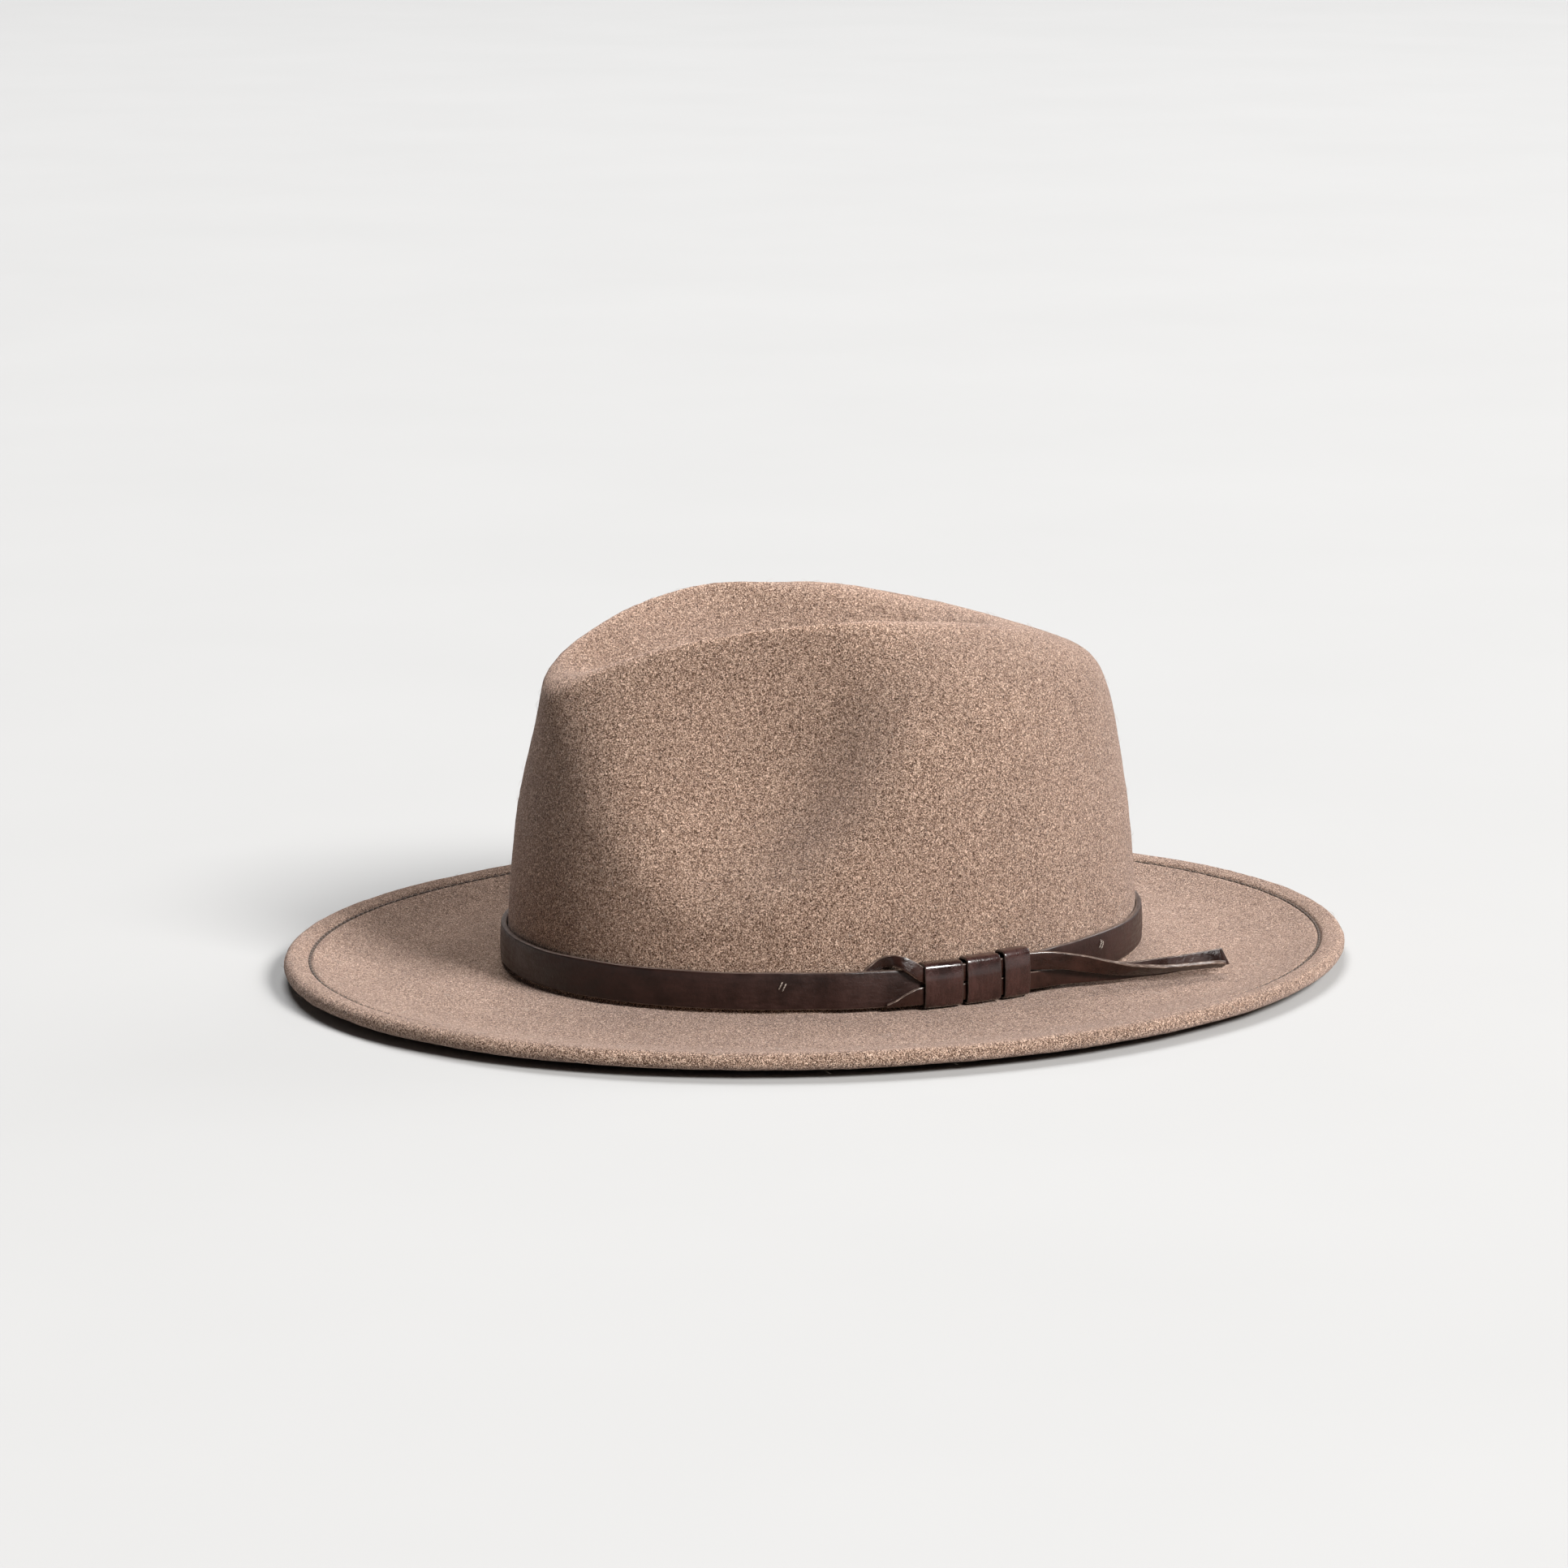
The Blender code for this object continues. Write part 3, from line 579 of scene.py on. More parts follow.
def leather_material(name, dark, light, roughness, coat):
    """Smooth dyed leather: fine pores, faint streaks along the strip, rubbed spots."""
    hide = Shader(name, roughness, 0.36, Coat_Weight=coat, Coat_Roughness=0.12)
    streak = hide.noise(950.0, 4.0, 0.6, 0.4, hide.lay(0.16, 1.0, 1.0))
    blotch = hide.noise(120.0, 4.0, 0.6)
    pore = hide.cells(1500.0)
    crease = hide.noise(420.0, 5.0, 0.65, 0.6)
    colour = hide.ramp(blotch, [(0.34, dark), (0.68, light)])
    colour = hide.shade(0.55, colour, hide.grey(streak, 0.62, 1.28, 0.3, 0.72))
    rubbed = hide.blend(streak, 0.5, blotch, 0.5)
    rough = hide.grey(rubbed, roughness - 0.10, roughness + 0.16, 0.36, 0.64)
    wrinkle = hide.bump(crease, 0.00028, 0.6)
    normal = hide.bump(pore, 0.00006, 0.5, hide.bump(streak, 0.00005, 0.5, wrinkle))
    return hide.finish(colour, normal, rough)


def cut_edge_material(name, dark, middle, light):
    """Burnished cut edge of the leather, paler than its face."""
    edge = Shader(name, 0.30, 0.5, Coat_Weight=0.5, Coat_Roughness=0.14)
    fibre = edge.noise(1300.0, 5.0, 0.7, 0.5, edge.lay(0.3, 1.6, 1.0))
    colour = edge.ramp(fibre, [(0.30, dark), (0.52, middle), (0.72, light)])
    return edge.finish(colour, edge.bump(fibre, 0.00012, 0.6))


def thread_material(name, dark, light, roughness):
    """Spun thread: slanting plies along its length."""
    thread = Shader(name, roughness, 0.3, Sheen_Weight=0.15)
    along_it, across_it = thread.along_across()
    ply = thread.wave(thread.blend(along_it, 7000.0, across_it, 6200.0), 0.5)
    hair = thread.noise(2200.0, 3.0, 0.7)
    shade = thread.blend(ply, 0.6, hair, 0.4)
    colour = thread.ramp(shade, [(0.2, dark), (0.8, light)])
    return thread.finish(colour, thread.bump(shade, 0.00012, 0.8))


def ribbed_material(name, dark, light, rib):
    """Ribbed cloth: ribs across the strip, fine yarn between them."""
    cloth = Shader(name, 0.85, 0.2, Sheen_Weight=0.25, Sheen_Roughness=0.5)
    along_it, across_it = cloth.along_across()
    wobble = cloth.noise(500.0, 3.0)
    ridge = cloth.wave(cloth.blend(along_it, TAU / (rib * MM), wobble, 0.9), 0.5)
    yarn = cloth.wave(cloth.math("MULTIPLY", across_it, TAU / (YARN_PITCH * MM)), 0.25)
    weave = cloth.blend(ridge, 0.7, yarn, 1.0)
    fuzz = cloth.noise(1800.0, 3.0, 0.7)
    colour = cloth.ramp(cloth.blend(weave, 0.7, fuzz, 0.35), [(0.15, dark), (0.85, light)])
    return cloth.finish(colour, cloth.bump(weave, 0.00022, 0.8))


def steel_material():
    steel = Shader("drawn_steel_wire", 0.36, 0.5, Metallic=1.0)
    drawn = steel.noise(2600.0, 3.0, 0.6)
    stain = steel.noise(140.0, 3.0, 0.6)
    colour = steel.ramp(stain, [(0.3, (0.34, 0.33, 0.33)), (0.7, (0.62, 0.62, 0.63))])
    return steel.finish(colour, steel.bump(drawn, 0.00004, 0.5), steel.grey(drawn, 0.26, 0.48, 0.3, 0.7))


def floor_material():
    floor = Shader("pale_floor", 1.0, 0.0)
    grain = floor.noise(5.0, 4.0, 0.5)
    return floor.finish(floor.grey(grain, 0.44, 0.45, 0.3, 0.7))


# ---- positions beside the crown ----
def crown_arc_table():
    turn = np.linspace(-pi, pi, 2881)
    x = CROWN_HALF_WIDTH * np.cos(turn)
    y = CROWN_HALF_LENGTH * np.sin(turn)
    length = np.concatenate([[0.0], np.cumsum(np.hypot(np.diff(x), np.diff(y)))])
    return turn, length - np.interp(0.0, turn, length)


ARC_TURN, ARC_LENGTH = crown_arc_table()


def beside_crown(arc, out, height):
    """Point beside the wall: arc runs toward the back from the wearer's left."""
    turn = np.interp(arc, ARC_LENGTH, ARC_TURN)
    normal_x = np.cos(turn) / CROWN_HALF_WIDTH
    normal_y = np.sin(turn) / CROWN_HALF_LENGTH
    size = np.hypot(normal_x, normal_y)
    stand = out - wall_lean(height)
    x = CROWN_HALF_WIDTH * np.cos(turn) + stand * normal_x / size
    y = CROWN_HALF_LENGTH * np.sin(turn) + stand * normal_y / size
    return np.array([x, y, height + BAND_LIFT])


def strap_lift(arc):
    """How far the strap stands off the felt: more where lace and keepers pass behind."""
    share = min(max(min(arc - LIFT_START, LIFT_END - arc) / LIFT_RAMP, 0.0), 1.0)
    return STRAP_LIFT * share * share * (3.0 - 2.0 * share)


def lace_facing(point):
    """Outward direction of the oval through a point beside the crown."""
    x = point[0] / CROWN_HALF_WIDTH ** 2
    y = min(point[1], 30.0) / CROWN_HALF_LENGTH ** 2
    size = hypot(x, y)
    return np.array([x / size, y / size, 0.0])


# ---- camera and light ----
def direction(azimuth, elevation):
    a, e = radians(azimuth), radians(elevation)
    return Vector((sin(a) * cos(e), -cos(a) * cos(e), sin(e)))


def add_camera():
    """Camera at the photograph's angle, level with the horizon."""
    target = Vector((0.0, BRIM_FORWARD_SHIFT * MM, BAND_LIFT * MM))
    back = direction(CAMERA_AZIMUTH, CAMERA_ELEVATION)
    lens = bpy.data.cameras.new("camera")
    camera = add_object("camera", lens)
    camera.location = target + back * CAMERA_DISTANCE
    camera.rotation_euler = back.to_track_quat("Z", "Y").to_euler()
    lens.sensor_width = 36.0
    lens.lens = CAMERA_LENS
    lens.shift_x, lens.shift_y = CAMERA_SHIFT
    bpy.context.scene.camera = camera


def add_area(name, azimuth, elevation, distance, size, power, colour=(1.0, 1.0, 1.0)):
    """Soft box that looks at the middle of the crown."""
    light = bpy.data.lights.new(name, "AREA")
    light.size = size
    light.energy = power
    light.color = colour
    item = add_object(name, light)
    back = direction(azimuth, elevation)
    item.location = Vector((0.0, 0.0, 0.05)) + back * distance
    item.rotation_euler = back.to_track_quat("Z", "Y").to_euler()


def add_studio():
    add_area("key_light", CAMERA_AZIMUTH + 48.0, 37.0, 12.0, 4.0, 2420.0, (1.0, 0.985, 0.965))
    add_area("side_light", CAMERA_AZIMUTH + 130.0, 25.0, 12.0, 4.8, 430.0)
    add_area("back_light", CAMERA_AZIMUTH + 190.0, 58.0, 12.0, 6.0, 1440.0)
    sky = bpy.data.worlds.new("studio")
    bpy.context.scene.world = sky
    sky.use_nodes = True
    background = sky.node_tree.nodes["Background"]
    background.inputs["Color"].default_value = (1.0, 0.96, 0.93, 1.0)
    background.inputs["Strength"].default_value = 0.06
    bpy.context.scene.view_settings.view_transform = "Standard"

    sides = 96
    reach = 8.0
    below = -0.0002
    turns = [TAU * k / sides for k in range(sides)]
    ring = [(reach * cos(turn), reach * sin(turn), below) for turn in turns]
    mesh = bpy.data.meshes.new("studio_floor")
    mesh.from_pydata(ring, [], [tuple(range(sides))])
    mesh.materials.append(floor_material())
    floor = add_object("studio_floor", mesh)


# ---- laces ----
LACE_OUT = CLEARANCE + STRAP_LIFT + STRAP_THICKNESS + CLEARANCE + LACE_THICKNESS / 2.0
LACE_FILL = (0.08, 0.3, 0.5, 0.7, 0.92)
# Beside the crown: arc, distance out from the lace's usual place, height, width, tilt.
UPPER_BESIDE = [
    (-30.2, -3.6, 10.0, 3.0, 0), (-27.6, -3.6, 12.2, 3.0, 0), (-24.9, -3.2, 13.9, 3.2, 0),
    (-22.2, -1.7, 14.6, 3.4, 5), (-19.6, -0.1, 14.0, 3.8, 12), (-17.2, 0.35, 12.6, 4.2, 15),
    (-14.9, 0.25, 10.9, 4.4, 10), (-12.2, 0.05, 9.4, 4.8, 3), (-9.0, 0.0, 9.2, 5.4, 0),
    (-3.0, 0.0, 9.2, 5.4, 0), (4.0, 0.0, 9.2, 5.4, 0), (12.0, 0.0, 9.2, 5.4, 0),
    (18.0, 0.0, 9.3, 5.4, 0), (24.0, 0.0, 9.6, 5.4, 0),
]
LOWER_BESIDE = [
    (-24.6, 0.1, 0.9, 0.9, 0), (-21.4, 0.1, 1.5, 2.2, 0), (-18.0, 0.1, 2.4, 3.9, 0),
    (-14.4, 0.0, 3.1, 5.2, 0), (-10.0, 0.0, 3.2, 5.4, 0), (-3.0, 0.0, 3.2, 5.4, 0),
    (4.0, 0.0, 3.2, 5.4, 0), (12.0, 0.0, 3.2, 5.4, 0), (18.0, 0.0, 3.2, 5.4, 0),
    (24.0, 0.0, 3.4, 5.4, 0),
]
# Hanging free: x, y, height, width, tilt.
UPPER_FREE = [
    (89.9, 35.0, 8.9, 5.4, -4), (90.0, 45.0, 6.8, 5.4, -14), (89.8, 52.0, 5.0, 5.4, -30),
    (89.4, 61.0, 3.1, 5.4, -46), (89.0, 71.0, 1.9, 5.4, -57), (89.0, 80.0, 1.6, 5.4, -62),
    (89.3, 91.0, 1.4, 5.2, -62), (89.5, 96.0, 1.0, 3.4, -60),
]
LOWER_FREE = [
    (87.1, 35.0, 3.0, 5.4, 0), (86.6, 47.0, 2.6, 5.4, 3), (85.6, 59.0, 2.0, 5.4, 6),
    (84.8, 72.0, 1.6, 5.4, 10), (84.4, 84.0, 1.7, 5.4, 14), (84.4, 99.5, 2.2, 5.4, 16),
]


def lace_route(beside, free):
    """World millimetre points, widths and tilts of a lace, from the knot to its tip."""
    points = [beside_crown(arc, LACE_OUT + out, z) for arc, out, z, *_ in beside]
    points += [(x, y, z + BAND_LIFT) for x, y, z, *_ in free]
    widths, tilts = zip(*(station[3:] for station in beside + free))
    return np.array(points), widths, tilts


def make_lace(name, route, slant, seed, materials):
    """Flat thong with softly rounded, uneven edges and a tip cut at a slant."""
    points, widths, tilts = route
    fine = 8
    line = smooth_path(points, fine)
    total = len(line)
    places = np.arange(total) / fine
    widths = np.interp(places, np.arange(len(points)), widths)
    tilts = np.radians(np.interp(places, np.arange(len(points)), tilts))
    wave = ripple(line, 16.0, seed)
    sections = []
    for k, point in enumerate(line):
        forward = forward_at(line, k)
        facing = lace_facing(point)
        facing = facing - forward * np.dot(facing, forward)
        facing /= norm(facing)
        across = np.cross(facing, forward)
        facing, across = (facing * cos(tilts[k]) + across * sin(tilts[k]),
                          across * cos(tilts[k]) - facing * sin(tilts[k]))
        half = widths[k] / 2.0 * (1.0 + 0.03 * wave[k])
        thick = LACE_THICKNESS / 2.0 * (1.0 + 0.05 * wave[k])
        section = []
        for a, b in rounded_rectangle(-half, half, -thick, thick, 0.3, 3, LACE_FILL):
            dome = 0.09 * copysign(1.0 - (a / half) ** 2, b)
            cut = slant * a / half if k == total - 1 else 0.0
            section.append(point + across * a + facing * (b + dome) + forward * cut)
        sections.append(section)
    half = LACE_WIDTH / 2.0
    thick = LACE_THICKNESS / 2.0
    outline = rounded_rectangle(-half, half, -thick, thick, 0.3, 3, LACE_FILL)
    rim = rim_of([a for a, b in outline], -half, half, 0.28)
    return sweep(name, sections, False, materials, rim)


def add_laces(materials):
    for name, node, beside, free, slant, seed in (
        ("lace_strip_upper", "lace_upper", UPPER_BESIDE, UPPER_FREE, 0.0, 11),
        ("lace_strip_lower", "lace_lower", LOWER_BESIDE, LOWER_FREE, -1.0, 12),
    ):
        route = lace_route(beside, free)
        lace = make_lace(name, route, slant, seed, materials)
        path = world(smooth_path(route[0], 3))
        length = float(norm(np.diff(path, axis=0), axis=1).sum())
        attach(lace, "root")
        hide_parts(node)


# ---- felt ----
def felt_grid(heading):
    """Every row of the felt skin from the outside crease round the hem to the inside."""
    spread = np.linspace
    crown = crown_rows(heading, spread(0.05, 1, CREASE_ROWS), spread(0, 1, 13)[1:],
                       spread(0, 1, 46)[1:], spread(0, 1, 20)[1:])
    rows = [place(heading, r, z) for r, z in crown]

    def add_row(station, drop=0.0):
        radius, height = station
        rows.append(place(heading, radius, height - drop))

    base = wall_radius(heading, 0.0)
    fillet = CLEARANCE + BRIM_DROP
    for turn in np.radians(spread(0, 90, 6)[1:]):
        rows.append(place(heading, base + fillet * (1 - cos(turn)),
                          CLEARANCE - fillet * sin(turn)))
    for fraction in spread(0.05, 0.84, 34):
        add_row(brim_point(heading, fraction))
    seam_row = len(rows)
    for inset in (10.4, 9.7, 9.2, 8.85, 8.55, 8.2, 7.85, 7.55, 7.2, 6.7, 6.0, 5.0, 3.9):
        radius, height = from_edge(heading, inset)
        puff = 0.16 * exp(-((inset - 5.6) / 1.5) ** 2)
        groove = 0.95 * exp(-((inset - SEAM_INSET) / 0.62) ** 2)
        rows.append(place(heading, radius, height + puff - groove))
    edge = edge_radius(heading)
    for turn in np.radians(spread(90, -90, 17)):
        radius = edge - HEM_ROUND + HEM_ROUND * cos(turn)
        rows.append(place(heading, radius, HEM_ROUND * sin(turn)))
    outer = len(rows)

    under = 2.0 * FELT + HEM_GAP
    for inset, depth in ((4.2, under - 0.05), (6.5, under), (HEM_WIDTH - 0.9, under - 0.02),
                         (HEM_WIDTH - 0.3, under - 0.3), (HEM_WIDTH, under - 0.9),
                         (HEM_WIDTH, FELT + HEM_GAP + 0.4), (HEM_WIDTH - 0.4, FELT + HEM_GAP)):
        add_row(from_edge(heading, inset), depth)
    middle = edge - WIRE_INSET
    for angle in (192, 225, 255, 285, 315, 345, 15, 45, 75, 105, 135, 172):
        turn = radians(angle)
        rows.append(place(heading, middle + WIRE_CHANNEL_RADIUS * cos(turn),
                          WIRE_CHANNEL_RADIUS * sin(turn)))
    add_row(from_edge(heading, HEM_WIDTH), FELT)
    for fraction in spread(0.82, 0.08, 20):
        add_row(brim_point(heading, fraction), FELT)
    corner = 1.6
    for turn in np.radians(spread(90, 0, 5)):
        rows.append(place(heading, base - FELT + corner * (1 - cos(turn)),
                          -BRIM_DROP - FELT + corner * (1 - sin(turn))))
    inside = inward(crown, heading, FELT)
    keep = [i for i in range(len(crown)) if i < 20 or i % 3 == 0]
    rows.extend(inside[i] for i in reversed(keep[1:]))
    return np.array(rows), outer, seam_row


def felt_painted_light_and_tone(grid, outer, seam_row):
    """Colour by point: painted shade in the seam groove and in the top crease, painted highlight along
    the ridge crest and on the rolled hem edge, painted shade under the brim and inside the crown, and
    faint random tone.
    """
    painted_light_and_tone = np.ones(grid.shape[:2])
    # painted shade: the rows in the stitched seam groove made darker
    for offset, depth in ((3, 0.10), (4, 0.24), (5, 0.33), (6, 0.24), (7, 0.10)):
        painted_light_and_tone[seam_row + offset] -= depth
    # painted shade: the top crease darker towards its floor
    painted_light_and_tone[:CREASE_ROWS] -= 0.12 * (1.0 - np.linspace(0.0, 1.0, CREASE_ROWS)[:, None] ** 2)
    # painted highlight: a paler line along the ridge crest
    ridge = np.arange(CREASE_ROWS - 2, CREASE_ROWS + 16)
    painted_light_and_tone[ridge] += 0.30 * np.exp(-((ridge - CREASE_ROWS - 6.0) / 4.5) ** 2)[:, None]
    # painted highlight: the top and outer rounding of the rolled hem made paler
    painted_light_and_tone[outer - 15:outer - 7] += 0.05
    painted_light_and_tone[:outer] *= 1.0 + 0.015 * ripple(grid[:outer], 26.0, 5)
    # painted shade: the brim's underside and the inside of the crown a little darker
    painted_light_and_tone[outer:] *= 0.96
    return painted_light_and_tone


def add_felt(material, fibre):
    heading = np.arange(AROUND) * TAU / AROUND
    grid, outer, seam_row = felt_grid(heading)
    normal = grid_normals(grid)
    shift = 0.06 * ripple(grid, 34.0, 1) + 0.03 * ripple(grid, 9.0, 2) + 0.03 * ripple(grid, 4.2, 3)
    shift[outer:] *= 0.4
    shift[seam_row:seam_row + 12] *= 0.5
    grid = grid + normal * shift[..., None]
    rows, count = grid.shape[:2]
    top = np.array([[0.0, 0.0, CREASE_FLOOR + BAND_LIFT]])
    bottom = top - [0.0, 0.0, FELT]
    points = np.vstack([top, grid.reshape(-1, 3), bottom])
    faces = [(0, 1 + i, 1 + (i + 1) % count) for i in range(count)]
    for k in range(rows - 1):
        faces.extend(ring_faces(1 + k * count, 1 + (k + 1) * count, count))
    last = 1 + (rows - 1) * count
    faces.extend((len(points) - 1, last + (i + 1) % count, last + i) for i in range(count))
    skin = make_piece("felt_skin", points, faces, [material])
    # per-point painted shade and painted highlight, with faint random tone, for the felt colour
    painted_light_and_tone = np.concatenate([[1.0], felt_painted_light_and_tone(grid, outer, seam_row).ravel(), [1.0]])
    layer = skin.data.attributes.new("painted_light_and_tone", "FLOAT", "POINT")
    layer.data.foreach_set("value", painted_light_and_tone.astype(np.float32))
    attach(skin, "root")
    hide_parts("felt_body")
    add_fibres(grid[:outer], normal[:outer], fibre)


def add_fibres(grid, normal, material):
    """Loose wool fibres standing a little off the skin, each a thin closed sliver."""
    rng = np.random.default_rng(23)
    beside = np.roll(grid, -1, axis=1)[:-1] - grid[:-1]
    quad = norm(np.cross(beside, grid[1:] - grid[:-1]), axis=2)
    chance = quad.ravel() / quad.sum()
    chosen = rng.choice(len(chance), FIBRES, p=chance)
    row, column = np.divmod(chosen, grid.shape[1])
    following = (column + 1) % grid.shape[1]
    root = grid[row, column] + (grid[row, following] - grid[row, column]) * rng.random((FIBRES, 1))
    root = root + (grid[row + 1, column] - grid[row, column]) * rng.random((FIBRES, 1))
    up = normal[row, column]
    side = np.cross(up, rng.normal(size=(FIBRES, 3)))
    side /= norm(side, axis=1, keepdims=True)
    other = np.cross(up, side)
    length = rng.gamma(3.0, 0.55, (FIBRES, 1)) + 0.5
    height = rng.uniform(0.15, 0.55, (FIBRES, 1)) * np.minimum(length, 2.2)
    curl = rng.normal(0.0, 0.35, (FIBRES, 1)) * length
    radius = rng.uniform(0.022, 0.045, (FIBRES, 1))
    rings = []
    for share, size in ((0.0, 1.0), (0.35, 1.0), (0.7, 0.8), (1.0, 0.35)):
        lift = height * sin(0.62 * pi * share) - 0.12
        centre = root + side * length * (share - 0.4) + other * curl * share ** 2 + up * lift
        for k in range(3):
            turn = TAU * k / 3
            rings.append(centre + (other * cos(turn) + up * sin(turn)) * radius * size)
    points = np.stack(rings, axis=1).reshape(-1, 3)
    sliver = tube_faces(4, 3)
    faces = [tuple(12 * fibre + i for i in face) for fibre in range(FIBRES) for face in sliver]
    nap = make_piece("felt_loose_fibres", points, faces, [material])
    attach(nap, "root")


# ---- stitching ----
HEM_SEAM_LENGTH = 1000.0
LINING_SEAM_LENGTH = 575.0
SEAM_SINK = 0.62
# Share of a stitch's length, and how far it stands out there in thread widths.
STITCH_ARCH = ((0.0, -0.9), (0.12, 0.0), (0.35, 0.45), (0.65, 0.45), (0.88, 0.0), (1.0, -0.9))


def stitch(line, radius, sides=6):
    """One stitch along a short line, thinner where its ends sink into the cloth."""
    line = np.asarray(line, float)
    total = len(line)
    points = []
    lays = []
    travelled = 0.0
    for k, point in enumerate(line):
        forward = forward_at(line, k)
        side = np.cross(forward, [0.0, 0.0, 1.0])
        side /= norm(side)
        up = np.cross(side, forward)
        size = radius * (0.5 if k in (0, total - 1) else 1.0)
        if k:
            travelled += float(norm(point - line[k - 1]))
        for i in range(sides):
            turn = TAU * i / sides
            points.append(point + side * size * cos(turn) + up * size * sin(turn))
            lays.append((travelled, radius * turn))
    return np.array(points), tube_faces(total, sides), np.array(lays)


def ring_stitches(seam, perimeter, thread, rise):
    """Stitches along a seam round the hat; rise is the way that their middles stand out."""
    count = int(perimeter / STITCH_PITCH)
    step = TAU / count
    bodies = []
    for i in range(count):
        line = []
        for share, lift in STITCH_ARCH:
            heading = step * (i + 0.5 + (share - 0.5) * STITCH_SHARE)
            radius, height = seam(heading)
            line.append(around_hat(heading, radius + rise[0] * lift * thread,
                                   height + rise[1] * lift * thread))
        bodies.append(stitch(line, thread))
    return bodies


def add_stitching(felt_thread):
    def hem_seam(heading):
        radius, height = from_edge(heading, SEAM_INSET)
        return radius, height - SEAM_SINK

    bodies = ring_stitches(hem_seam, HEM_SEAM_LENGTH, THREAD, (0.0, 1.0))
    hem = merge("hem_stitches", bodies, [felt_thread])
    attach(hem, "root")
    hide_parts("hem_thread")

    def lining_seam(heading):
        back = FELT + CLEARANCE + SWEATBAND_EASE + SWEATBAND_THICKNESS
        return wall_radius(heading, 1.0) - back - 0.2, 1.0

    bodies = ring_stitches(lining_seam, LINING_SEAM_LENGTH, 0.3, (-1.0, 0.0))
    lining = merge("sweatband_stitches", bodies, [felt_thread])
    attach(lining, "root")
    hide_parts("sweatband_thread")


# ---- band and keepers ----
def add_strap(materials):
    half_round = -ARC_LENGTH[0]
    around = 2.0 * half_round
    butt = 6.8
    arcs = np.linspace(butt + 0.2, butt + around - 0.2, BAND_STEPS)
    arcs = (arcs + half_round) % around - half_round
    outline = rounded_rectangle(0.0, STRAP_THICKNESS, STRAP_BOTTOM, STRAP_TOP, 0.5, 4,
                                (0.04, 0.3, 0.7, 0.96))
    centres = np.array([beside_crown(arc, 0.0, 6.0) for arc in arcs])
    edge_wave = 0.10 * ripple(centres, 30.0, 31)
    stand_wave = 0.09 * ripple(centres, 45.0, 32)
    sections = []
    for arc, rise, stand in zip(arcs, edge_wave, stand_wave):
        lift = CLEARANCE + strap_lift(arc) + 0.08 + stand * 0.8
        section = []
        for out, z in outline:
            share = (z - STRAP_BOTTOM) / (STRAP_TOP - STRAP_BOTTOM)
            bow = 0.22 * sin(pi * share) if out > STRAP_THICKNESS / 2 else 0.0
            section.append(beside_crown(arc, lift + out + bow, z + rise * share))
        sections.append(section)
    rim = rim_of([z for out, z in outline], STRAP_BOTTOM, STRAP_TOP)
    strap = sweep("hatband_strap", sections, False, materials, rim)
    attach(strap, "root")
    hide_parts("band_strap")


def add_keepers(materials):
    inner = CLEARANCE + LOOP_THICKNESS
    outer = LACE_OUT + LACE_THICKNESS / 2.0 + CLEARANCE
    corner = LOOP_CORNER - LOOP_THICKNESS
    for index, (span, top) in enumerate(zip(LOOP_SPANS, LOOP_TOPS)):
        low = LOOP_BOTTOM + LOOP_THICKNESS
        high = top - LOOP_THICKNESS
        path = []
        for out, z, first in (
            (outer - corner, high - corner, 0),
            (inner + corner, high - corner, 90),
            (inner + corner, low + corner, 180),
            (outer - corner, low + corner, 270),
        ):
            for turn in range(0, 91, 15):
                a = radians(first + turn)
                path.append((out, z, cos(a), sin(a)))
        for step in range(1, 6):
            share = step / 6.0
            z = low + corner + (high - low - 2.0 * corner) * share
            path.append((outer - corner + 0.35 * sin(pi * share), z, 1.0, 0.0))
        sections = []
        wave = ripple(np.array([(out, z, 7.0 * index) for out, z, *_ in path]), 6.0, 41 + index)
        for (out, z, across, up), uneven in zip(path, wave):
            outline = rounded_rectangle(span[0] - 0.05 * uneven, span[1] + 0.05 * uneven, 0.0,
                                        LOOP_THICKNESS + 0.03 * uneven, 0.34, 3)
            section = []
            for arc, depth in outline:
                share = (arc - span[0]) / (span[1] - span[0])
                swell = 0.10 * sin(pi * min(max(share, 0.0), 1.0)) if depth > 0.4 else 0.0
                reach = corner + depth + swell
                section.append(beside_crown(arc, out + reach * across, z + reach * up))
            sections.append(section)
        flat = rounded_rectangle(*span, 0.0, LOOP_THICKNESS, 0.34, 3)
        rim = rim_of([arc for arc, depth in flat], *span)
        keeper = sweep(f"keeper_band_{index + 1}", sections, True, materials, rim)
        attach(keeper, "root")
        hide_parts(f"keeper_loop_{index + 1}")


def add_tacks(thread):
    """Two small slanting stitches side by side through the strap's face."""
    for name, node, arc, z in (("tack_front", "band_tack_front", -56.0, 7.9),
                               ("tack_back", "band_tack_back", 61.5, 8.4)):
        face = CLEARANCE + STRAP_THICKNESS + 0.3
        bodies = []
        for start, drop in ((-0.55, 0.0), (0.55, -0.5)):
            line = []
            for share, out in ((0.0, -0.5), (0.15, 0.1), (0.5, 0.3), (0.85, 0.1), (1.0, -0.5)):
                moved = start + 1.3 * (share - 0.5)
                line.append(beside_crown(arc + moved, face + out, z + drop + 2.6 * (share - 0.5)))
            bodies.append(stitch(smooth_path(line, 3), 0.24))
        tack = merge(name, bodies, [thread])
        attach(tack, "root")
        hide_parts(node)


# ---- inside of the crown ----
def lining_point(heading, depth, z):
    return around_hat(heading, float(wall_radius(heading, z)) - depth, z)


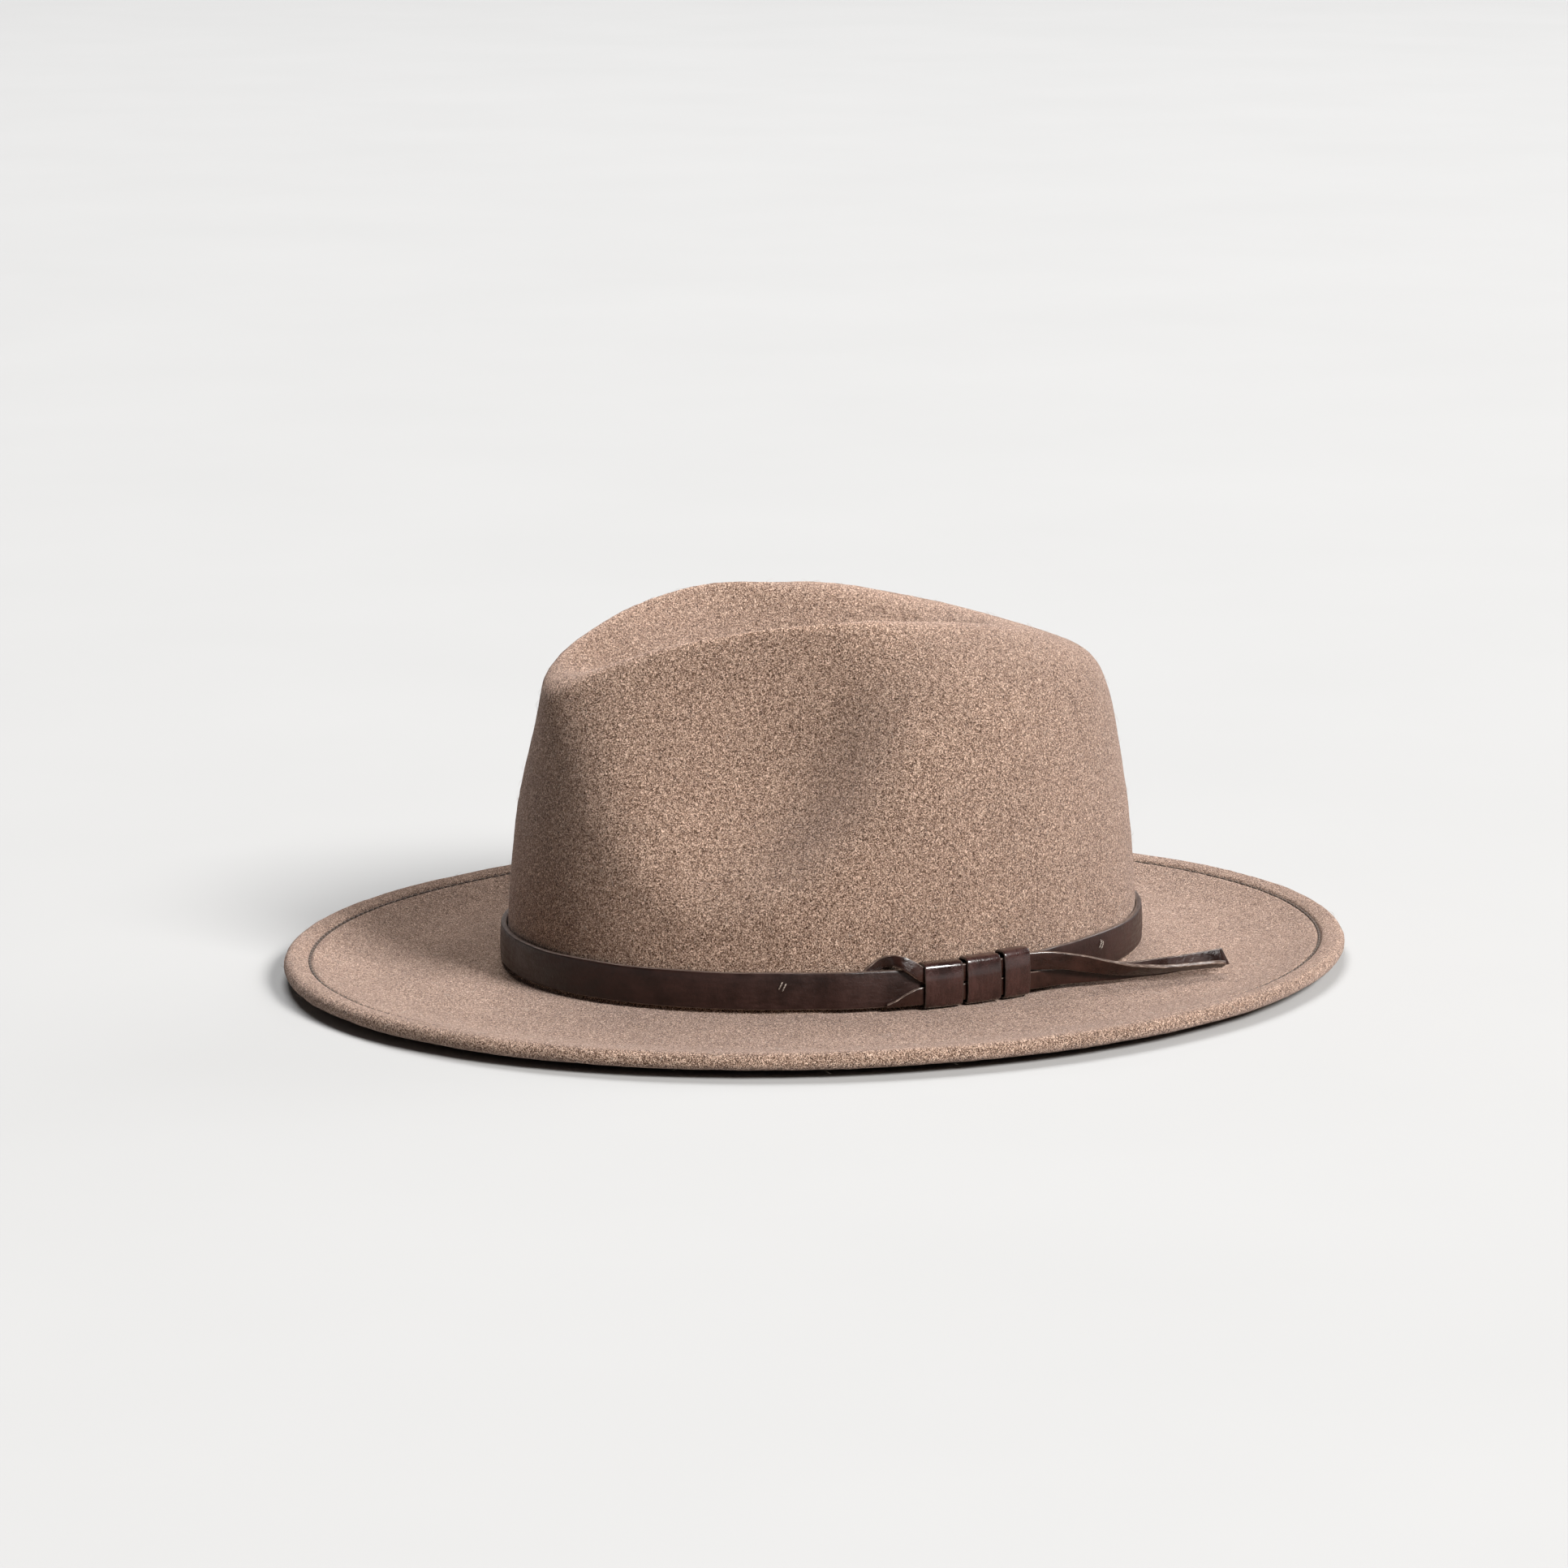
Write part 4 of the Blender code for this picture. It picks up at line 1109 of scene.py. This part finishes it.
def add_sweatband(cloth):
    face = FELT + CLEARANCE + SWEATBAND_EASE
    back = face + SWEATBAND_THICKNESS
    heading = np.arange(AROUND) * TAU / AROUND
    wave = ripple(place(heading, 95.0, 20.0), 38.0, 51)
    round_edge = SWEATBAND_THICKNESS / 2.0
    shoulder = SWEATBAND_TOP - round_edge
    height = SWEATBAND_TOP - SWEATBAND_BOTTOM
    sections = []
    for h, uneven in zip(heading, wave):
        outline = [lining_point(h, face + 0.25 * (z < 0), z)
                   for z in np.linspace(SWEATBAND_BOTTOM, shoulder, 12)]
        for turn in np.radians(np.linspace(0, 180, 7)):
            depth = (face + back) / 2.0 - round_edge * cos(turn)
            z = shoulder + round_edge * sin(turn) + 0.25 * uneven
            outline.append(lining_point(h, depth, z))
        for z in np.linspace(shoulder, SWEATBAND_BOTTOM, 12):
            sag = 0.12 * uneven * sin(pi * (z - SWEATBAND_BOTTOM) / height)
            outline.append(lining_point(h, back - 0.2 * (z < 0) + max(sag, 0.0), z))
        sections.append(outline)
    band = sweep("sweatband_ribbon", sections, True, [cloth])
    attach(band, "root")
    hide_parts("sweatband")


def lining_patch(name, node, centre, width, low, high, start, thick, material, thread):
    """Thin cloth piece lying on the sweatband, pillowed inside its stitched rim."""
    half = width / 2.0 / CROWN_HALF_LENGTH
    steps = 28
    levels = 20
    sections = []
    for h in np.linspace(centre - half, centre + half, steps):
        side = abs(h - centre) / half
        outline = [lining_point(h, start, z) for z in np.linspace(low, high, levels)]
        for z in np.linspace(high, low, levels):
            upright = abs(z - (low + high) / 2.0) / ((high - low) / 2.0)
            rim = max(side, upright)
            puff = thick * (1.0 - 0.55 * rim ** 10) - 0.16 * exp(-((rim - 0.86) / 0.05) ** 2)
            outline.append(lining_point(h, start + max(puff, 0.12), z))
        sections.append(outline)
    patch = sweep(name, sections, False, [material])
    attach(patch, "root")
    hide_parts(node)

    bodies = []
    inset = 1.1
    row = half - inset / CROWN_HALF_LENGTH
    length = high - low - 2.0 * inset
    count = int(length / 2.0)
    for h in (centre - row, centre + row):
        for k in range(count):
            middle = low + inset + (k + 0.5) * length / count
            line = []
            for share, lift in ((-0.5, -0.2), (-0.3, 0.02), (0.0, 0.12), (0.3, 0.02), (0.5, -0.2)):
                depth = start + thick - 0.06 + lift
                line.append(lining_point(h + 0.0012 * share, depth, middle + 1.6 * share))
            bodies.append(upright_stitch(line, 0.16))
    stitches = merge(name + "_stitches", bodies, [thread])
    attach(stitches, "root")


def upright_stitch(line, radius):
    """A stitch that runs up the wall: turned as a level one, then stood up again."""
    line = np.asarray(line, float)[:, [0, 2, 1]]
    points, faces, lays = stitch(line, radius, 5)
    return points[:, [0, 2, 1]], faces, lays


def add_lining(cloth, label, thread):
    add_sweatband(cloth)
    start = FELT + 2 * CLEARANCE + SWEATBAND_EASE + SWEATBAND_THICKNESS
    lining_patch("back_tape", "sweatband_tape", pi, TAPE_WIDTH, TAPE_BOTTOM,
                 TAPE_TOP, start, TAPE_THICKNESS, cloth, thread)
    centre = pi - (TAPE_WIDTH / 2 + 3.0 + LABEL_WIDTH / 2) / CROWN_HALF_LENGTH
    lining_patch("plain_size_label", "size_label", centre, LABEL_WIDTH, LABEL_BOTTOM,
                 LABEL_BOTTOM + LABEL_HEIGHT, start, LABEL_THICKNESS, label, thread)


def add_wire_finish(steel):
    for node in ("brim_wire", "wire_joiner"):
        for slot in frame["nodes"][node].material_slots:
            slot.material = steel


# ---- the scene ----
add_camera()
add_studio()

strap_edge = cut_edge_material("strap_cut_edge", (0.040, 0.025, 0.020),
                               (0.120, 0.085, 0.072), (0.26, 0.20, 0.18))
thong_edge = cut_edge_material("thong_cut_edge", (0.026, 0.014, 0.011),
                               (0.110, 0.072, 0.056), (0.44, 0.35, 0.30))
keeper_edge = cut_edge_material("keeper_cut_edge", (0.014, 0.008, 0.006),
                                (0.040, 0.026, 0.021), (0.10, 0.07, 0.06))
strap_leather = leather_material("strap_leather", (0.013, 0.0042, 0.0030),
                                 (0.035, 0.0130, 0.0098), 0.42, 0.09)
thong_leather = leather_material("thong_leather", (0.012, 0.0036, 0.0022),
                                 (0.034, 0.0112, 0.0072), 0.29, 0.20)
keeper_leather = leather_material("keeper_hide", (0.016, 0.0052, 0.0042),
                                  (0.048, 0.0175, 0.0148), 0.23, 0.80)
felt_thread = thread_material("felt_sewing_thread", (0.040, 0.026, 0.020), (0.125, 0.088, 0.068), 0.85)
tack_thread = thread_material("waxed_tack_thread", (0.11, 0.08, 0.065), (0.42, 0.35, 0.30), 0.35)
ribbed_cloth = ribbed_material("ribbed_band_cloth", (0.018, 0.013, 0.011), (0.070, 0.055, 0.048), 0.9)
label_cloth = ribbed_material("woven_label_cloth", (0.38, 0.34, 0.29), (0.66, 0.61, 0.54), 0.45)

add_laces([thong_leather, thong_edge])
add_felt(felt_material(), fibre_material())
add_stitching(felt_thread)
add_strap([strap_leather, strap_edge])
add_keepers([keeper_leather, keeper_edge])
add_tacks(tack_thread)
add_lining(ribbed_cloth, label_cloth, felt_thread)
add_wire_finish(steel_material())
